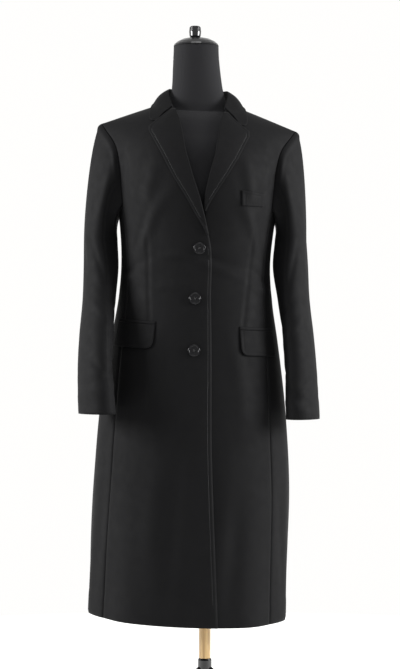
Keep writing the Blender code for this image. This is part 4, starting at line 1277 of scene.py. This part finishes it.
# %% The form's skin
FORM_COLUMNS = ("z", "cx", "half", "front", "back")
FORM_LOW = (
    (0.8000, -0.006, 0.148, 0.112, 0.118),
    (0.8600, -0.006, 0.150, 0.115, 0.116),
    (0.9220, -0.006, 0.145, 0.108, 0.108),
    (0.9970, -0.006, 0.130, 0.096, 0.092),
    (1.0710, -0.006, 0.121, 0.092, 0.080),
    (1.1440, -0.006, 0.132, 0.104, 0.084),
    (1.2000, -0.005, 0.146, 0.120, 0.092),
    (1.2400, -0.005, 0.150, 0.124, 0.096),
)
FORM_TOP = (
    (0.156, 0.119, 0.095, 0.016),
    (0.162, 0.106, 0.085, 0.010),
    (0.165, 0.086, 0.071, 0.0070),
    (0.156, 0.064, 0.054, 0.0080),
    (0.128, 0.057, 0.045, 0.0080),
    (0.098, 0.052, 0.034, 0.0130),
    (0.070, 0.047, 0.032, 0.0160),
    (0.0555, 0.045, 0.036, 0.0150),
)
FORM_NECK = (
    (1.4180, -0.0045, 0.0530, 0.0455),
    (1.4450, -0.0060, 0.0520, 0.0455),
    (1.4750, -0.0075, 0.0500, 0.0455),
    (1.5050, -0.0082, 0.0478, 0.0450),
    (1.5300, -0.0080, 0.0470, 0.0450),
)
NECK_SEAM = 1.503
SKIN_ROWS = 190
NECK_ROW = 148.0
NECK_SPREAD = 26.0
NECK_PASSES = 420


def ring(cx, half, front, back, turn):
    """x and y of an oval whose front and back halves have their own depths."""
    across = np.cos(turn)
    deep = np.where(np.sin(turn) < 0, front, back)
    return cx + half * across, deep * np.sin(turn)


def form_skin(name):
    turn = np.linspace(0, 2 * math.pi, 140, endpoint=False)
    rings = []
    for z, cx, half, front, back in FORM_LOW:
        x, y = ring(cx, half, front, back, turn)
        rings.append(np.stack([x, y, z + 0 * x], axis=-1))
    for half, front, back, under in FORM_TOP:
        x, y = ring(-0.0045, half, front, back, turn)
        rings.append(np.stack([x, y, shoulder_height(x, y) - under], axis=-1))
    for z, cx, half, deep in FORM_NECK:
        x, y = ring(cx, half, deep, deep, turn)
        rings.append(np.stack([x, y, z + 0 * x], axis=-1))
    rings = np.array(rings)
    at = np.linspace(0, len(rings) - 1, SKIN_ROWS)
    low = np.minimum(at.astype(int), len(rings) - 2)
    t = (at - low)[:, None, None]
    padded = np.concatenate([2 * rings[:1] - rings[1:2], rings, 2 * rings[-1:] - rings[-2:-1]])
    a, b, c, d = (padded[low + k] for k in range(4))
    slope_b, slope_c = (c - a) / 2, (d - b) / 2
    grid = (b * (2 * t**3 - 3 * t**2 + 1) + slope_b * (t**3 - 2 * t**2 + t)
            + c * (3 * t**2 - 2 * t**3) + slope_c * (t**3 - t**2))
    soft = grid.copy()
    for _ in range(NECK_PASSES):
        soft[1:-1] = (soft[:-2] + 2 * soft[1:-1] + soft[2:]) / 4
    near = np.exp(-(((np.arange(SKIN_ROWS) - NECK_ROW) / NECK_SPREAD) ** 2))[:, None, None]
    grid = grid * (1 - near) + soft * near
    away = grid[..., 2] - NECK_SEAM
    side = grid[..., :2] - grid[..., :2].mean(axis=1, keepdims=True)
    side = side / np.maximum(np.linalg.norm(side, axis=-1, keepdims=True), 1e-9)
    sink = -0.0007 * np.exp(-((away / 0.0012) ** 2)) + 0.0004 * np.exp(-((away / 0.004) ** 2))
    grid[..., :2] = grid[..., :2] + side * sink[..., None]
    rows, columns = grid.shape[:2]
    count = rows * columns
    low_point = grid[0].mean(axis=0)
    high_point = grid[-1].mean(axis=0)
    points = np.concatenate([grid.reshape(-1, 3), [low_point, high_point]])
    wide = np.arange(columns)
    after = (wide + 1) % columns
    last = (rows - 1) * columns
    caps = [np.stack([after, wide, np.full(columns, count)], axis=1),
            np.stack([last + wide, last + after, np.full(columns, count + 1)], axis=1)]
    mesh = bpy.data.meshes.new(name)
    faces = grid_faces(rows, columns, 0, True, False).tolist() + caps[0].tolist() + caps[1].tolist()
    mesh.from_pydata((points + SHIFT).tolist(), [], faces)
    mesh.update()
    mesh.shade_smooth()
    mesh.materials.append(JERSEY)
    obj = bpy.data.objects.new(name, mesh)
    bpy.context.scene.collection.objects.link(obj)
    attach(obj, "root")
    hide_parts("form_torso")
    return obj


form = form_skin("form_skin")


# %% Looks for the CAD nodes that keep their shape
CAD_LOOKS = {"neck_cap": GLOSS, "finial": GLOSS, "hub": GLOSS, "leg_right": GLOSS,
             "leg_left": GLOSS, "leg_back": GLOSS, "pole": WOOD}


def wear(node, look):
    """Puts a material in every slot of a CAD node's mesh."""
    for obj in bpy.data.objects:
        if obj.type == "MESH" and obj.name == node:
            for slot in obj.material_slots:
                slot.material = look


for node, look in CAD_LOOKS.items():
    wear(node, look)
print("Form:", form.name, "with", sorted(CAD_LOOKS))

# %% [markdown]
# ## The cut
# Every sheet of cloth is listed with its flat size: the width and length of the
# rectangle it is cut from. Its CAD nodes are hidden.

# %% Sheets


CUT_COLUMNS = ("object", "nodes", "width", "length", "held", "rests_on")
CUTS = (
    (front_right, ("right_front",), 0.300, 1.160, "hung", ("form_torso",)),
    (front_left, ("left_front",), 0.300, 1.160, "hung", ("form_torso",)),
    (back_right, ("right_back",), 0.240, 1.140, "hung", ("form_torso",)),
    (back_left, ("left_back",), 0.240, 1.140, "hung", ("form_torso",)),
    (side_right, ("right_side",), 0.200, 0.900, "hung", ("form_torso",)),
    (side_left, ("left_side",), 0.200, 0.900, "hung", ("form_torso",)),
    (sleeve_right, ("right_topsleeve", "right_undersleeve"), 0.420, 0.640, "hung", ("form_torso",)),
    (sleeve_left, ("left_topsleeve", "left_undersleeve"), 0.420, 0.640, "hung", ("form_torso",)),
    (lapel_right, ("right_lapel",), 0.085, 0.280, "folded", ("right_front",)),
    (lapel_left, ("left_lapel",), 0.085, 0.280, "folded", ("left_front",)),
    (collar, ("collar_stand", "collar_fall"), 0.120, 0.440, "folded", ("form_torso",)),
    (flaps[-1], ("right_flap",), 0.112, 0.052, "hung", ("right_front",)),
    (flaps[1], ("left_flap",), 0.102, 0.054, "hung", ("left_front",)),
    (jets[-1], ("right_jet",), 0.112, 0.010, "laid", ("right_front",)),
    (jets[1], ("left_jet",), 0.102, 0.010, "laid", ("left_front",)),
    (welt, ("breast_welt",), 0.054, 0.038, "laid", ("left_front",)),
)
for obj, nodes, width, length, held, rests in CUTS:
    declare(nodes)

# %% [markdown]
# ## Floor, light and camera
# A round pale floor under a white sky, a large soft light at each side and a weaker
# one above. The camera stands level, four metres in front of the coat.

# %% Floor and sky
FLOOR = Look("floor", (0.86, 0.86, 0.85), 0.9)
FLOOR.feed("Base Color", FLOOR.mix(FLOOR.noise(3.0), (0.84, 0.84, 0.83), (0.88, 0.88, 0.87)))
FLOOR_R = 2.3
turns = np.linspace(0, 2 * math.pi, 96, endpoint=False)
floor_mesh = bpy.data.meshes.new("floor")
rim = [(FLOOR_R * math.cos(t), FLOOR_R * math.sin(t), 0) for t in turns]
floor_mesh.from_pydata(rim, [], [tuple(range(len(rim)))])
floor_mesh.materials.append(FLOOR.material)
floor = bpy.data.objects.new("floor", floor_mesh)
bpy.context.scene.collection.objects.link(floor)

world = bpy.data.worlds.new("sky")
world.use_nodes = True
world.node_tree.nodes["Background"].inputs["Color"].default_value = (1.0, 0.995, 0.985, 1)
world.node_tree.nodes["Background"].inputs["Strength"].default_value = 1.0
bpy.context.scene.world = world
bpy.context.scene.view_settings.view_transform = "Standard"

# %% Lights
LIGHT_COLUMNS = ("name", "x", "y", "z", "size", "watts")
LIGHTS = (
    ("left_light", -2.6, -0.5, 1.6, 1.3, 190.0),
    ("right_light", 2.6, -0.5, 1.6, 1.3, 200.0),
    ("top_light", 0.2, -1.2, 3.4, 1.6, 30.0),
)
aim = np.array([0.0, 0.0, 1.0])
for name, x, y, z, size, watts in LIGHTS:
    lamp = bpy.data.lights.new(name, "AREA")
    lamp.shape = "DISK"
    lamp.size = size
    lamp.energy = watts
    obj = bpy.data.objects.new(name, lamp)
    obj.location = (x, y, z)
    obj.rotation_euler = Vector(tuple(aim - (x, y, z))).to_track_quat("-Z", "Y").to_euler()
    bpy.context.scene.collection.objects.link(obj)

# %% Camera
camera_data = bpy.data.cameras.new("camera")
camera_data.lens = 102.5
camera_data.sensor_width = 36.0
camera = bpy.data.objects.new("camera", camera_data)
camera.location = (float(SHIFT[0]), float(SHIFT[1]) - 4.0, 0.925)
camera.rotation_euler = (math.pi / 2, 0, 0)
bpy.context.scene.collection.objects.link(camera)
bpy.context.scene.camera = camera
